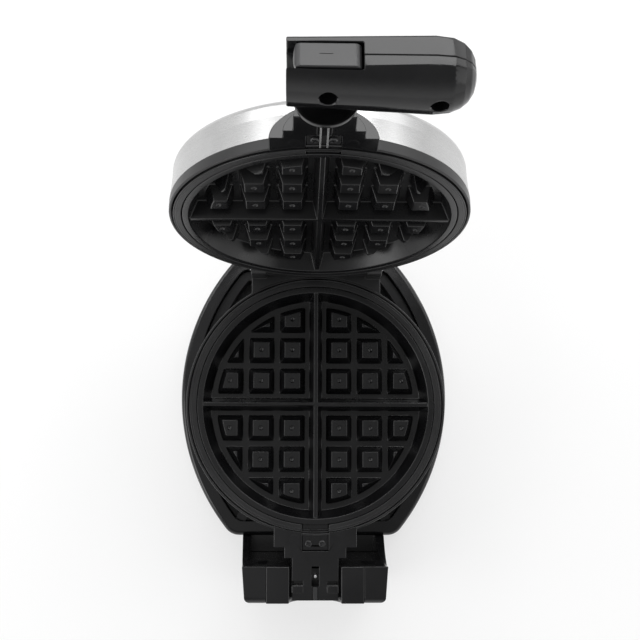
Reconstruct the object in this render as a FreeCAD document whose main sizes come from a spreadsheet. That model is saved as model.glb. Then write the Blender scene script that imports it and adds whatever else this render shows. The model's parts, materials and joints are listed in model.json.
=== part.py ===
"""A round flip waffle maker: a plastic base with a front tower and a rear post, a turning lower half with
its waffle plate, a hinged lid with the other plate, and a folding handle. Millimetres, +Z up, origin on the
table under the middle of the lower plate; the lid stands open and the handle lies folded to the right."""
import FreeCAD, Part
import math
import os
import re
import Sketcher

SIZES = {
    # Places of the main axes
    "axis_height": 120, "hinge_back": 108.7, "hinge_up": 11.3, "lid_open": 102.46, "pivot_front": 182,
    # Waffle plates
    "well_radius": 90, "well_floor": 84.5, "well_depth": 13.5, "plate_floor": 4, "plate_foot": 90.5,
    "flange_radius": 94.5, "flange_neck": 92.6, "flange_thick": 3, "face_gap": 0.25, "peg_first": 18.9,
    "peg_pitch": 24.87, "peg_base": 20, "peg_top": 12.4, "peg_height": 10.5, "peg_circle": 79.5,
    "peg_draft": 4, "ridge_base": 9.6, "ridge_top": 3.2, "ridge_height": 12.4, "tab_half": 10.3,
    "tab_reach": 114.5, "tab_sink": 2, "tab_thick": 2, "tab_gap": 0.3, "tab_screw_side": 5.4,
    "tab_screw_in": 5.2, "skirt": 2,
    # Rings and steel covers
    "ring_lip": 100.6, "lip_height": 4.5, "ring_band": 103, "band_depth": 11.5, "seat_depth": 9,
    "cover_radius": 102, "cover_wall": 1, "cover_depth": 36, "cover_corner": 5, "cover_crown": 3.5,
    "lug_half": 26, "lug_reach": 111, "lug_top": 4, "lug_gap": 0.1, "bore_gap": 0.4, "neck_gap": 0.3,
    "seat_gap": 0.1,
    # Heating
    "heater_circle": 62, "heater_tube": 3.2, "heater_gap": 0.1, "heater_sweep": 320, "pin_drop": 10,
    "tray_radius": 88, "tray_depth": 9.5, "tray_wall": 0.8, "tray_lean": 3, "lead_gap": 0.5,
    "cutout_radius": 9, "cutout_height": 6, "blade_half": 0.4, "blade_side": 3,
    # Trunnions and rear bearing
    "stub_root": 90, "first_step": 32.6, "first_drop": 24.2, "first_round": 17, "first_reach": 112,
    "second_step": 24.3, "second_drop": 19.6, "second_round": 14, "second_reach": 120.3, "third_step": 18.3,
    "third_reach": 152.8, "flat_gap": 1, "latch_half": 2.9, "latch_near": 126.7, "latch_far": 142.2,
    "side_screw": 17.2, "side_screw_front": 106, "rib_side": 3.4, "rib_half": 0.8, "rib_height": 0.6,
    "pad_near": 141.5, "pad_far": 147, "pad_inner": 9.5, "pad_outer": 17.8, "pad_rise": 0.7,
    "shaft_radius": 7.5, "shaft_bore": 4.5, "shaft_end": 152.1, "shaft_flange": 12, "flange_back": 117,
    "run_gap": 0.05, "bush_radius": 9.5, "clip_radius": 10, "clip_thick": 1.6, "clip_gap": 0.4,
    "notch_length": 3.5, "notch_gap": 0.1,
    # Hinge
    "bracket_half": 52, "bracket_back": 114, "bracket_drop": 14, "ear_inner": 40, "knuckle_radius": 7,
    "pin_radius": 3, "pin_gap": 0.05, "pin_proud": 1, "knuckle_gap": 0.2, "arm_inner": 24.3,
    "arm_outer": 39.7, "arm_front": 88, "arm_low": 4.7,
    # Neck and handle
    "neck_start": 155.6, "collar_end": 158.4, "collar_wall": 1.6, "collar_floor": 1.4, "tongue_half": 7,
    "tongue_thick": 10, "slot_gap": 0.5, "handle_root": 21.5, "handle_front": 197, "root_crease_low": 8,
    "root_crease_high": 9.7, "root_belly": 17, "root_middle": 179, "root_back": 165.5, "flare_end": 55,
    "end_crease_low": 5, "end_crease_high": 11.5, "end_belly": 19, "end_middle": 177, "end_back": 158,
    "tip_reach": 22.5, "tip_square": 2.4, "root_gap": 0.6, "pivot_radius": 3.5, "pivot_web": 9,
    "pivot_slack": 0.2, "tip_screw": 58, "tip_screw_front": 178, "tip_screw_length": 16, "screw_well": 4.6,
    "button_left": 18, "button_right": 17, "button_low": 7.4, "button_high": 6.6, "button_gap": 0.8,
    "button_depth": 5, "button_travel": 2.5, "button_proud": 0.2, "button_corner": 4, "spring_radius": 2.6,
    "spring_wire": 0.6, "spring_gap": 0.3, "spring_slack": 0.2,
    # Base
    "base_half": 117.4, "base_middle": 11, "side_radius": 186, "base_front": 111, "base_back": 152,
    "base_height": 32, "foot_height": 2, "cover_plate": 2, "base_wall": 2.5, "rim_width": 12,
    "recess_back": 124, "front_corner": 15, "back_corner": 20, "recess_corner": 12, "rim_round": 4,
    "ledge_width": 7, "ledge_height": 24, "pan_gap": 0.6, "pan_sheet": 1.6, "pan_floor": 5.5,
    "pan_corner": 6, "finger_side": 3, "finger_front": 16, "finger_radius": 4.5, "foot_radius": 8,
    "front_foot_side": 46, "front_foot": 142, "back_foot_side": 52, "back_foot": 124, "cover_inset": 0.6,
    "foot_inset": 1,
    # Front tower
    "tower_foot": 62.8, "tower_top": 57.3, "tower_taper": 2.2, "tower_front": 155.1, "block_back": 126.7,
    "gusset_inner": 54, "void_floor": 14, "tower_corner": 5, "saddle_half": 38.5, "saddle_drop": 45,
    "saddle_gap": 0.1, "cradle_radius": 20.3, "cradle_gap": 0.3, "cradle_spread": 140, "tower_wall": 3,
    "knob_drop": 76, "knob_radius": 16, "knob_depth": 6, "knob_gap": 0.5, "stem_radius": 3, "stem_gap": 0.5,
    "lens_side": 34, "lens_radius": 3.5, "lens_proud": 1.5, "switch_half": 13, "switch_depth": 14,
    # Rear post
    "post_front": 127.5, "post_back": 148.5, "post_foot": 40, "post_head": 11.5, "post_neck": 18,
    "post_sweep": 95, "cap_radius": 14, "cap_depth": 7, "cap_wall": 1.6, "gland_side": 40,
    "gland_height": 17, "gland_radius": 5.5, "gland_bore": 3.6, "gland_lip": 8, "gland_proud": 2,
    "gland_inside": 3, "terminal_left": 20, "terminal_right": 16, "terminal_front": 129,
    "terminal_back": 144, "terminal_height": 10, "terminal_pitch": 8, "terminal_first": 14,
    "terminal_bore": 1.6, "terminal_bore_depth": 6,
    # Fasteners
    "screw_radius": 1.5, "screw_head": 2.9, "screw_sink": 1.6, "screw_length": 9, "head_gap": 0.3,
    "tip_gap": 0.2,
}

doc = FreeCAD.newDocument("waffle_maker")
sheet = doc.addObject("Spreadsheet::Sheet", "size")
for row, (name, number) in enumerate(SIZES.items(), start=1):
    sheet.set(f"A{row}", name)
    sheet.set(f"B{row}", str(number))
    sheet.setAlias(f"B{row}", name)
doc.recompute()

NAMES = re.compile(r"\b(" + "|".join(SIZES) + r")\b")
PLANES = {"level": "XY_Plane", "front": "XZ_Plane", "side": "YZ_Plane"}

SWING = "placement(vector(0; hinge_back; axis_height + hinge_up); rotation(vector(1; 0; 0); -lid_open))"
LOWER = "placement(vector(0; 0; axis_height); rotation(vector(0; 0; 1); 0))"
LID = SWING + " * placement(vector(0; -hinge_back; -hinge_up); rotation(vector(0; 0; 1); 0))"
UPPER = SWING + " * placement(vector(0; -hinge_back; -hinge_up); rotation(vector(0; 1; 0); 180))"
TAB_SCREW = "(tab_reach - tab_screw_in)"
KNOB_LEVEL = "(axis_height - knob_drop)"
TIP_STEPS = (0, 0.4, 0.65, 0.82, 0.93, 0.985)
TURNS = {"up": "vector(0; 0; 1); 0", "back": "vector(1; 0; 0); -90", "right": "vector(0; 1; 0); 90",
         "down": "vector(1; 0; 0); 180"}

subparts = []


def value(text):
    """The number that a formula of sheet names stands for."""
    return float(sheet.evalExpression(text))


def bind(item, target, text):
    """Tie one property to a formula of sheet names."""
    item.setExpression(target, NAMES.sub(lambda found: "size." + found.group(), text))


def keep(item, label, place=None):
    """Name a finished sub-part and put it in its place."""
    item.Label = label
    if place:
        bind(item, "Placement", place)
    subparts.append(item)
    return item


def body(label, place=None):
    """An empty sub-part made of sketched features."""
    return keep(doc.addObject("PartDesign::Body", label), label, place)


def arc_between(start, end, radius, side):
    """The short arc from start to end; side is 1 when it runs anticlockwise and -1 when clockwise."""
    chord = end - start
    reach = math.sqrt(max(radius ** 2 - (chord.Length / 2) ** 2, 0))
    left = FreeCAD.Vector(-chord.y, chord.x, 0).normalize()
    centre = (start + end) * 0.5 + left * (reach * side)
    first, last = (start, end) if side > 0 else (end, start)
    from_angle = math.atan2(first.y - centre.y, first.x - centre.x)
    to_angle = math.atan2(last.y - centre.y, last.x - centre.x)
    if to_angle < from_angle:
        to_angle += 2 * math.pi
    return Part.ArcOfCircle(Part.Circle(centre, FreeCAD.Vector(0, 0, 1), radius), from_angle, to_angle)


def fix(sketch, kind, references, text):
    """Add one dimension to a sketch and tie it to its formula."""
    index = sketch.addConstraint(Sketcher.Constraint(kind, *references, value(text)))
    bind(sketch, f"Constraints[{index}]", text)


def draw_loop(sketch, points):
    """Draw a closed loop; a point is (x, y), or (x, y, radius, side) where an arc leaves it."""
    first = sketch.GeometryCount
    spots = [FreeCAD.Vector(value(point[0]), value(point[1]), 0) for point in points]
    ends = []
    for index, point in enumerate(points):
        start, end = spots[index], spots[(index + 1) % len(points)]
        if len(point) == 2:
            sketch.addGeometry(Part.LineSegment(start, end))
            ends.append((1, 2))
        else:
            sketch.addGeometry(arc_between(start, end, value(point[2]), point[3]))
            ends.append((1, 2) if point[3] > 0 else (2, 1))
    for index, point in enumerate(points):
        following = (index + 1) % len(points)
        joint = (first + index, ends[index][1], first + following, ends[following][0])
        sketch.addConstraint(Sketcher.Constraint("Coincident", *joint))
        fix(sketch, "DistanceX", (-1, 1, first + index, ends[index][0]), point[0])
        fix(sketch, "DistanceY", (-1, 1, first + index, ends[index][0]), point[1])
        if len(point) > 2:
            fix(sketch, "Radius", (first + index,), point[2])


def draw_circle(sketch, across, along, radius):
    """Draw a circle by its centre and radius."""
    middle = FreeCAD.Vector(value(across), value(along), 0)
    index = sketch.addGeometry(Part.Circle(middle, FreeCAD.Vector(0, 0, 1), value(radius)))
    fix(sketch, "DistanceX", (-1, 1, index, 3), across)
    fix(sketch, "DistanceY", (-1, 1, index, 3), along)
    fix(sketch, "Radius", (index,), radius)


def sketch_on(piece, plane, offset, loops):
    """A sketch on one of the piece's own planes, moved along that plane's normal."""
    support = [item for item in piece.Origin.OriginFeatures if item.Role == PLANES[plane]][0]
    sketch = piece.newObject("Sketcher::SketchObject", piece.Name + "_sketch")
    sketch.AttachmentSupport = (support, [""])
    sketch.MapMode = "FlatFace"
    bind(sketch, "AttachmentOffset.Base.z", offset)
    for loop in loops:
        if isinstance(loop, tuple):
            draw_circle(sketch, *loop)
        else:
            draw_loop(sketch, loop)
    return sketch


def pad(piece, plane, offset, loops, length, both=False, against=False, taper=None):
    """Add the loops' area along the plane's normal, or against it, or to both sides."""
    feature = piece.newObject("PartDesign::Pad", piece.Name + "_pad")
    feature.Profile = sketch_on(piece, plane, offset, loops)
    bind(feature, "Length", length)
    feature.SideType = "Symmetric" if both else "One side"
    feature.Reversed = against
    if taper:
        bind(feature, "TaperAngle", taper)
    doc.recompute()
    return feature


def pocket(piece, plane, offset, loops, length, both=False, against=True):
    """Cut the loops' area against the plane's normal, or along it, or to both sides."""
    before = piece.Shape.Volume
    feature = piece.newObject("PartDesign::Pocket", piece.Name + "_pocket")
    feature.Profile = sketch_on(piece, plane, offset, loops)
    bind(feature, "Length", length)
    feature.SideType = "Symmetric" if both else "One side"
    feature.Reversed = not against
    doc.recompute()
    if piece.Shape.Volume > before - 0.01:
        raise ValueError(f"a pocket of {piece.Label} cuts nothing")
    return feature


def turned(piece, plane, axis, loops, angle="360", cut=False):
    """Turn the loops about a sketch axis, half to each side of the sketch, to add or to cut."""
    before = piece.Shape.Volume if cut else 0
    kind = "PartDesign::Groove" if cut else "PartDesign::Revolution"
    feature = piece.newObject(kind, piece.Name + "_turned")
    feature.Profile = sketch_on(piece, plane, "0", loops)
    feature.ReferenceAxis = (feature.Profile[0], [axis])
    feature.Midplane = True
    bind(feature, "Angle", angle)
    doc.recompute()
    if cut and piece.Shape.Volume > before - 0.01:
        raise ValueError(f"a groove of {piece.Label} cuts nothing")
    return feature


def lofted(piece, sketches):
    """Add the solid that runs straight from each sketch to the next."""
    feature = piece.newObject("PartDesign::AdditiveLoft", piece.Name + "_loft")
    feature.Profile = sketches[0]
    feature.Sections = sketches[1:]
    feature.Ruled = True
    doc.recompute()


def rounded(piece, radius, wanted):
    """Round the edges that the test picks."""
    base = piece.Tip
    edges = [f"Edge{number}" for number, edge in enumerate(base.Shape.Edges, start=1) if wanted(edge)]
    if not edges:
        raise ValueError(f"no edge to round on {piece.Label}")
    feature = piece.newObject("PartDesign::Fillet", piece.Name + "_round")
    feature.Base = (base, edges)
    bind(feature, "Radius", radius)
    doc.recompute()


def box_loop(left, right, near, far):
    """A rectangle from its four sides."""
    return [(left, near), (right, near), (right, far), (left, far)]


def cylinder(radius, length, across, along, height, turn="up"):
    """A plain round bar from one end point."""
    bar = doc.addObject("Part::Cylinder", "bar")
    bind(bar, "Radius", radius)
    bind(bar, "Height", length)
    bind(bar, "Placement", f"placement(vector({across}; {along}; {height}); rotation({TURNS[turn]}))")
    return bar


def joined(parts):
    """Several bars as one solid."""
    whole = doc.addObject("Part::MultiFuse", "joined")
    whole.Shapes = parts
    return whole


def group(label, place, members):
    """Identical separate pieces kept as one sub-part."""
    together = doc.addObject("Part::Compound", label)
    together.Links = members
    return keep(together, label, place)


def screw(across, along, height, turn, length="screw_length"):
    """A pan-head screw with its head's underside at the given height."""
    head = cylinder("screw_head", "screw_sink", across, along, height, turn)
    flip = {"up": "down", "down": "up"}[turn]
    shank = cylinder("screw_radius", length, across, along, height, flip)
    return joined([head, shank])


def vertical(edge):
    """True for a straight upright edge."""
    if edge.Curve.TypeId != "Part::GeomLine":
        return False
    return abs(edge.tangentAt(edge.FirstParameter).z) > 0.99


def waffle_plate(label, place):
    """A cast plate: floor, tapered pegs inside a circle, well wall with flange, cross ridges and screw tab."""
    plate = body(label, place)
    underside = "-(well_depth + plate_floor)"
    top = "-face_gap"
    turned(plate, "front", "V_Axis", [box_loop("0", "plate_foot - skirt", underside, "-well_depth")])
    squares = []
    for row in range(3):
        for column in range(3):
            across = f"(peg_first + {column} * peg_pitch)"
            along = f"(peg_first + {row} * peg_pitch)"
            squares.append(box_loop(f"{across} - peg_base / 2", f"{across} + peg_base / 2",
                                    f"{along} - peg_base / 2", f"{along} + peg_base / 2"))
    draft = "-atan((peg_base - peg_top) / (2 * peg_height))"
    pegs = pad(plate, "level", "-well_depth", squares, "peg_height", taper=draft)
    around = plate.newObject("PartDesign::PolarPattern", label + "_around")
    around.Originals = [pegs]
    around.Axis = ([item for item in plate.Origin.OriginFeatures if item.Role == "Z_Axis"][0], [""])
    around.Angle = 360
    around.Occurrences = 4
    plate.Tip = around
    doc.recompute()
    trim = [("peg_circle", "-well_depth"), ("2 * well_radius", "-well_depth"), ("2 * well_radius", "0"),
            ("peg_circle - peg_draft * (well_depth / peg_height)", "0")]
    turned(plate, "front", "V_Axis", [trim], cut=True)
    wall = [("plate_foot - skirt", underside), ("plate_foot", underside), ("flange_neck", "-face_gap - flange_thick"),
            ("flange_radius", "-face_gap - flange_thick"), ("flange_radius", top), ("well_radius", top),
            ("well_floor", "-well_depth"), ("plate_foot - skirt - plate_floor", underside)]
    turned(plate, "front", "V_Axis", [wall])
    ridge = [("-ridge_base / 2", "-well_depth"), ("ridge_base / 2", "-well_depth"),
             ("ridge_top / 2", "ridge_height - well_depth"), ("-ridge_top / 2", "ridge_height - well_depth")]
    pad(plate, "front", "0", [ridge], "2 * (well_radius + face_gap)", both=True)
    pad(plate, "side", "0", [ridge], "2 * (well_radius + face_gap)", both=True)
    tab = box_loop("-tab_half", "tab_half", "-tab_reach", "-well_radius - 1")
    pad(plate, "level", "-tab_sink", [tab], "tab_thick", against=True)
    holes = [(f"{side} * tab_screw_side", f"-{TAB_SCREW}", "screw_radius + pin_gap") for side in (-1, 1)]
    pocket(plate, "level", "-tab_sink", holes, "tab_thick")
    return plate


def rim_ring(label, place):
    """The plastic ring that carries the plate, with a stepped rim, a seat for the cover and a front lug."""
    ring = body(label, place)
    bore = "flange_radius + bore_gap"
    ledge = "-face_gap - flange_thick"
    profile = [("flange_neck + neck_gap", ledge), (bore, ledge), (bore, "-face_gap"), ("ring_lip", "-face_gap"),
               ("ring_lip", "-lip_height"), ("ring_band", "-lip_height"), ("ring_band", "-band_depth"),
               ("cover_radius + seat_gap", "-band_depth"), ("cover_radius + seat_gap", "-seat_depth"),
               ("flange_neck + neck_gap", "-seat_depth")]
    turned(ring, "front", "V_Axis", [profile])
    lug = box_loop("-lug_half", "lug_half", "-lug_reach", "-flange_radius - 1")
    pad(ring, "level", "-seat_depth", [lug], "seat_depth - lug_top")
    notch = box_loop("-tab_half - tab_gap", "tab_half + tab_gap", "-ring_band - 1",
                     "-flange_neck + skirt")
    pocket(ring, "level", "0", [notch], "tab_sink + tab_thick")
    holes = [(f"{side} * side_screw", "-side_screw_front", "screw_radius + pin_gap") for side in (-1, 1)]
    holes += [(f"{side} * tab_screw_side", f"-{TAB_SCREW}", "screw_radius + pin_gap") for side in (-1, 1)]
    pocket(ring, "level", "-lug_top", holes, "seat_depth")
    return ring


def steel_cover(label, place):
    """The drawn steel pan over the outside of a half: straight side, rounded corner and low crown."""
    cover = body(label, place)
    flat = "cover_radius - cover_corner"
    crown = "(({0}) ^ 2 + cover_crown ^ 2) / (2 * cover_crown)".format(flat)
    profile = [("cover_radius - cover_wall", "-seat_depth"),
               ("cover_radius - cover_wall", "cover_corner - cover_depth", "cover_corner - cover_wall", -1),
               (flat, "cover_wall - cover_depth", crown, -1),
               ("0", "cover_wall - cover_depth - cover_crown"),
               ("0", "-cover_depth - cover_crown", crown, 1),
               (flat, "-cover_depth", "cover_corner", 1),
               ("cover_radius", "cover_corner - cover_depth"),
               ("cover_radius", "-seat_depth")]
    turned(cover, "front", "V_Axis", [profile])
    return cover


def heater(label, place):
    """A bent tubular heating element under the plate, with its two terminal pins."""
    level = "-well_depth - plate_floor - heater_tube - heater_gap"
    coil = doc.addObject("Part::Torus", label + "_coil")
    bind(coil, "Radius1", "heater_circle")
    bind(coil, "Radius2", "heater_tube")
    bind(coil, "Angle3", "heater_sweep")
    start = "(90 + (360 - heater_sweep) / 2)"
    bind(coil, "Placement", f"placement(vector(0; 0; {level}); rotation(vector(0; 0; 1); {start}))")
    pins = []
    for side in (-1, 1):
        across = f"{side} * heater_circle * sin((360 - heater_sweep) / 2)"
        along = "heater_circle * cos((360 - heater_sweep) / 2)"
        pins.append(cylinder("heater_tube", "pin_drop", across, along, level, "down"))
    return keep(joined([coil] + pins), label, place)


def heat_tray(label, place):
    """The thin reflector dish behind the heater, seated on the plate's underside."""
    dish = body(label, place)
    top = "-well_depth - plate_floor"
    floor = top + " - tray_depth"
    profile = [("0", floor), ("tray_radius - tray_lean", floor), ("tray_radius", top), ("tray_radius - tray_wall", top),
               ("tray_radius - tray_lean - tray_wall", floor + " + tray_wall"), ("0", floor + " + tray_wall")]
    turned(dish, "front", "V_Axis", [profile])
    holes = []
    for side in (-1, 1):
        holes.append((f"{side} * heater_circle * sin((360 - heater_sweep) / 2)",
                      "heater_circle * cos((360 - heater_sweep) / 2)", "heater_tube + lead_gap"))
    pocket(dish, "level", floor + " + tray_wall", holes, "2 * tray_wall")
    return dish


def cut_out(label, place):
    """A snap disc on the reflector that limits the temperature, with two blade terminals."""
    seat = "-well_depth - plate_floor - tray_depth"
    disc = body(label, place)
    pad(disc, "level", seat, [("0", "0", "cutout_radius")], "cutout_height", against=True)
    blades = []
    for side in (-1, 1):
        middle = f"{side} * cutout_radius / 2"
        blades.append(box_loop(f"{middle} - blade_half", f"{middle} + blade_half", "-blade_side", "blade_side"))
    pad(disc, "level", seat + " - cutout_height", blades, "cutout_height / 2", against=True)
    return disc


def half_oval(half, drop, side):
    """Half an oval below the parting plane: a wide arc underneath between two tighter ones."""
    belly = f"((({half} - {side}) ^ 2 + {drop} ^ 2 - {side} ^ 2) / (2 * ({drop} - {side})))"
    across = f"({belly} * ({half} - {side}) / ({belly} - {side}))"
    down = f"(({belly} - {drop}) * {side} / ({belly} - {side}))"
    return [(f"-{half}", "0", side, 1), (f"-{across}", f"-{down}", belly, 1), (across, f"-{down}", side, 1),
            (half, "0")]


def trunnion(label, place, reach):
    """The stepped stub on the front of a half, flat at the parting plane: two ovals and a half round."""
    stub = body(label, place)
    for step in ("first", "second"):
        oval = half_oval(step + "_step", step + "_drop", step + "_round")
        pad(stub, "front", "stub_root", [oval], step + "_reach - stub_root")
    half_round = [("-third_step", "0", "third_step", 1), ("0", "-third_step", "third_step", 1), ("third_step", "0")]
    pad(stub, "front", "stub_root", [half_round], reach + " - stub_root")
    span = box_loop("-2 * first_step", "2 * first_step", f"-({reach}) - 5", "0")
    pocket(stub, "level", "0", [span], "flat_gap")
    pocket(stub, "level", "0", [("0", "0", "ring_lip + cradle_gap")], "2 * first_step")
    pocket(stub, "level", "cradle_gap - lip_height", [("0", "0", "ring_band + cradle_gap")], "2 * first_step")
    tab = box_loop("-tab_half - tab_gap", "tab_half + tab_gap", "-tab_reach - tab_gap", "-ring_lip + skirt")
    pocket(stub, "level", "0", [tab], "tab_sink + tab_thick")
    lug = box_loop("-lug_half - lug_gap", "lug_half + lug_gap", "-lug_reach - lug_gap", "-ring_band + 20")
    pocket(stub, "level", "-lug_top", [lug], "seat_depth - lug_top + lug_gap")
    holes = [(f"{side} * tab_screw_side", f"-{TAB_SCREW}", "screw_radius + pin_gap") for side in (-1, 1)]
    pocket(stub, "level", "-tab_sink", holes, "screw_length + tip_gap")
    wells = [(f"{side} * side_screw", "-side_screw_front", "screw_head + head_gap") for side in (-1, 1)]
    pocket(stub, "level", "0", wells, "flat_gap + screw_sink")
    runs = [(f"{side} * side_screw", "-side_screw_front", "screw_radius + pin_gap") for side in (-1, 1)]
    pocket(stub, "level", "0", runs, "flat_gap + screw_sink + screw_length + tip_gap")
    return stub


def lower_trunnion():
    """The lower stub with its latch slot and the two lock pads beside it."""
    stub = trunnion("lower_trunnion", LOWER, "third_reach")
    slot = box_loop("-latch_half", "latch_half", "-latch_far", "-latch_near")
    pocket(stub, "level", "0", [slot], "2 * third_step")
    for side in (-1, 1):
        pads = box_loop(f"{side} * pad_inner", f"{side} * pad_outer", "-pad_far", "-pad_near")
        pad(stub, "level", "-flat_gap", [pads], "pad_rise")
        notch = box_loop(f"{side} * pad_inner", f"{side} * third_step", "-pad_near + notch_gap",
                         "-pad_near + notch_length")
        pocket(stub, "level", "0", [notch], "third_step / 3")


def upper_trunnion():
    """The lid's stub, which ends on the neck, with two guide ribs along its flat."""
    stub = trunnion("upper_trunnion", UPPER, "neck_start")
    for side in (-1, 1):
        rib = box_loop(f"{side} * rib_side - rib_half", f"{side} * rib_side + rib_half",
                       "-neck_start + 1", "-tab_reach - 1")
        pad(stub, "level", "-flat_gap", [rib], "rib_height")


def half_screws(prefix, place):
    """The screws of a half: two through the plate's tab and two that hold the stub to the ring."""
    tab = [screw(f"{side} * tab_screw_side", f"-{TAB_SCREW}", "-tab_sink", "up") for side in (-1, 1)]
    group(prefix + "_plate_screws", place, tab)
    stub = [screw(f"{side} * side_screw", "-side_screw_front", "-flat_gap - screw_sink", "up")
            for side in (-1, 1)]
    group(prefix + "_trunnion_screws", place, stub)


def hinge_bracket():
    """The bracket behind the lower ring, with an ear at each end for the hinge pin."""
    bracket = body("hinge_bracket", LOWER)
    block = box_loop("-bracket_half", "bracket_half", "ring_band / 2", "bracket_back")
    pad(bracket, "level", "-flat_gap", [block], "bracket_drop - flat_gap", against=True)
    for side in (-1, 1):
        ear = [("hinge_back - knuckle_radius", "-bracket_drop"), ("hinge_back + knuckle_radius", "-bracket_drop"),
               ("hinge_back + knuckle_radius", "hinge_up", "knuckle_radius", 1),
               ("hinge_back", "hinge_up + knuckle_radius", "knuckle_radius", 1),
               ("hinge_back - knuckle_radius", "hinge_up")]
        near = "ear_inner" if side > 0 else "-bracket_half"
        pad(bracket, "side", near, [ear], "bracket_half - ear_inner")
    pocket(bracket, "level", "0", [("0", "0", "ring_band + run_gap")], "2 * bracket_drop")
    bore = [("hinge_back", "hinge_up", "pin_radius + run_gap / 2")]
    pocket(bracket, "side", "0", bore, "2 * bracket_half + 4", both=True)


def rear_shaft():
    """The hollow shaft behind the bracket that turns in the post; the heaters' wires pass through it."""
    shaft = body("rear_shaft", LOWER)
    profile = [("bracket_back", "shaft_bore"), ("shaft_end", "shaft_bore"), ("shaft_end", "shaft_radius"),
               ("flange_back", "shaft_radius"), ("flange_back", "shaft_flange"), ("bracket_back", "shaft_flange")]
    turned(shaft, "side", "H_Axis", [profile])
    clip = body("shaft_clip", LOWER)
    ring = [("post_back + clip_gap", "shaft_radius"), ("post_back + clip_gap + clip_thick", "shaft_radius"),
            ("post_back + clip_gap + clip_thick", "clip_radius"), ("post_back + clip_gap", "clip_radius")]
    turned(clip, "side", "H_Axis", [ring])


def hinge_pin():
    """The pin through both ears and both lid arms."""
    pin = cylinder("pin_radius", "2 * (bracket_half + pin_proud)", "-bracket_half - pin_proud", "hinge_back",
                   "axis_height + hinge_up", "right")
    keep(pin, "hinge_pin")


def lid_hinge_arms():
    """The two leaves behind the lid's ring that turn on the hinge pin."""
    arms = []
    for side in (-1, 1):
        arm = doc.addObject("PartDesign::Body", "lid_arm")
        knuckle = "(knuckle_radius - knuckle_gap)"
        leaf = [("arm_front", "arm_low"), ("hinge_back", f"hinge_up - {knuckle}", knuckle, 1),
                (f"hinge_back + {knuckle}", "hinge_up", knuckle, 1), ("hinge_back", f"hinge_up + {knuckle}"),
                ("arm_front", f"hinge_up + {knuckle}")]
        near = "arm_inner" if side > 0 else "-arm_outer"
        pad(arm, "side", near, [leaf], "arm_outer - arm_inner")
        pocket(arm, "level", "0", [("0", "0", "ring_band + run_gap")], "4 * hinge_up", against=False)
        pocket(arm, "side", "0", [("hinge_back", "hinge_up", "pin_radius + pin_gap")], "3 * arm_outer", both=True)
        arms.append(arm)
    group("lid_hinge_arms", LID, arms)


def handle_neck():
    """The round cup on the end of the lid's stub, with the tongue that carries the handle's pivot."""
    neck = body("handle_neck", LID)
    cup = [("-neck_start", "0"), ("-neck_start", "third_step"), ("-collar_end", "third_step"),
           ("-collar_end", "third_step - collar_wall"), ("-neck_start - collar_floor", "third_step - collar_wall"),
           ("-neck_start - collar_floor", "0")]
    turned(neck, "side", "H_Axis", [cup])
    tongue = [("-tongue_half", "-neck_start - collar_floor / 2"), ("-tongue_half", "-pivot_front", "tongue_half", 1),
              ("0", "-pivot_front - tongue_half", "tongue_half", 1), ("tongue_half", "-pivot_front"),
              ("tongue_half", "-neck_start - collar_floor / 2")]
    pad(neck, "level", "0", [tongue], "tongue_thick", both=True)
    pocket(neck, "level", "0", [("0", "-pivot_front", "pivot_radius + pin_gap")], "2 * tongue_thick", both=True)


def handle_section(front, crease, middle, belly, back, side):
    """Half of the handle's cross-section, from the parting plane: flat front, crease, belly and back."""
    rise = f"({crease})"
    deep = f"({belly})"
    first = f"((({front}) - ({middle})) ^ 2 + ({deep} - {rise}) ^ 2) / (2 * ({deep} - {rise}))"
    second = f"((({middle}) - ({back})) ^ 2 + {deep} ^ 2) / (2 * {deep})"
    return [(f"-({front})", "0"), (f"-({front})", f"{side} * {rise}", first, -side),
            (f"-({middle})", f"{side} * {deep}", second, -side), (f"-({back})", "0")]


def handle_form(shell, side):
    """The flared and domed solid of one half of the handle."""
    crease = "crease_high" if side > 0 else "crease_low"
    root = handle_section("handle_front", "root_" + crease, "root_middle", "root_belly", "root_back", side)
    sketches = [sketch_on(shell, "side", "-handle_root", [root])]
    for step in TIP_STEPS:
        share = f"(1 - {step} ^ tip_square) ^ (1 / tip_square)"
        front = f"end_middle + (handle_front - end_middle) * {share}"
        back = f"end_middle - (end_middle - end_back) * {share}"
        ring = handle_section(front, f"end_{crease} * {share}", "end_middle", f"end_belly * {share}", back, side)
        sketches.append(sketch_on(shell, "side", f"flare_end + tip_reach * {step}", [ring]))
    lofted(shell, sketches)


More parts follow.
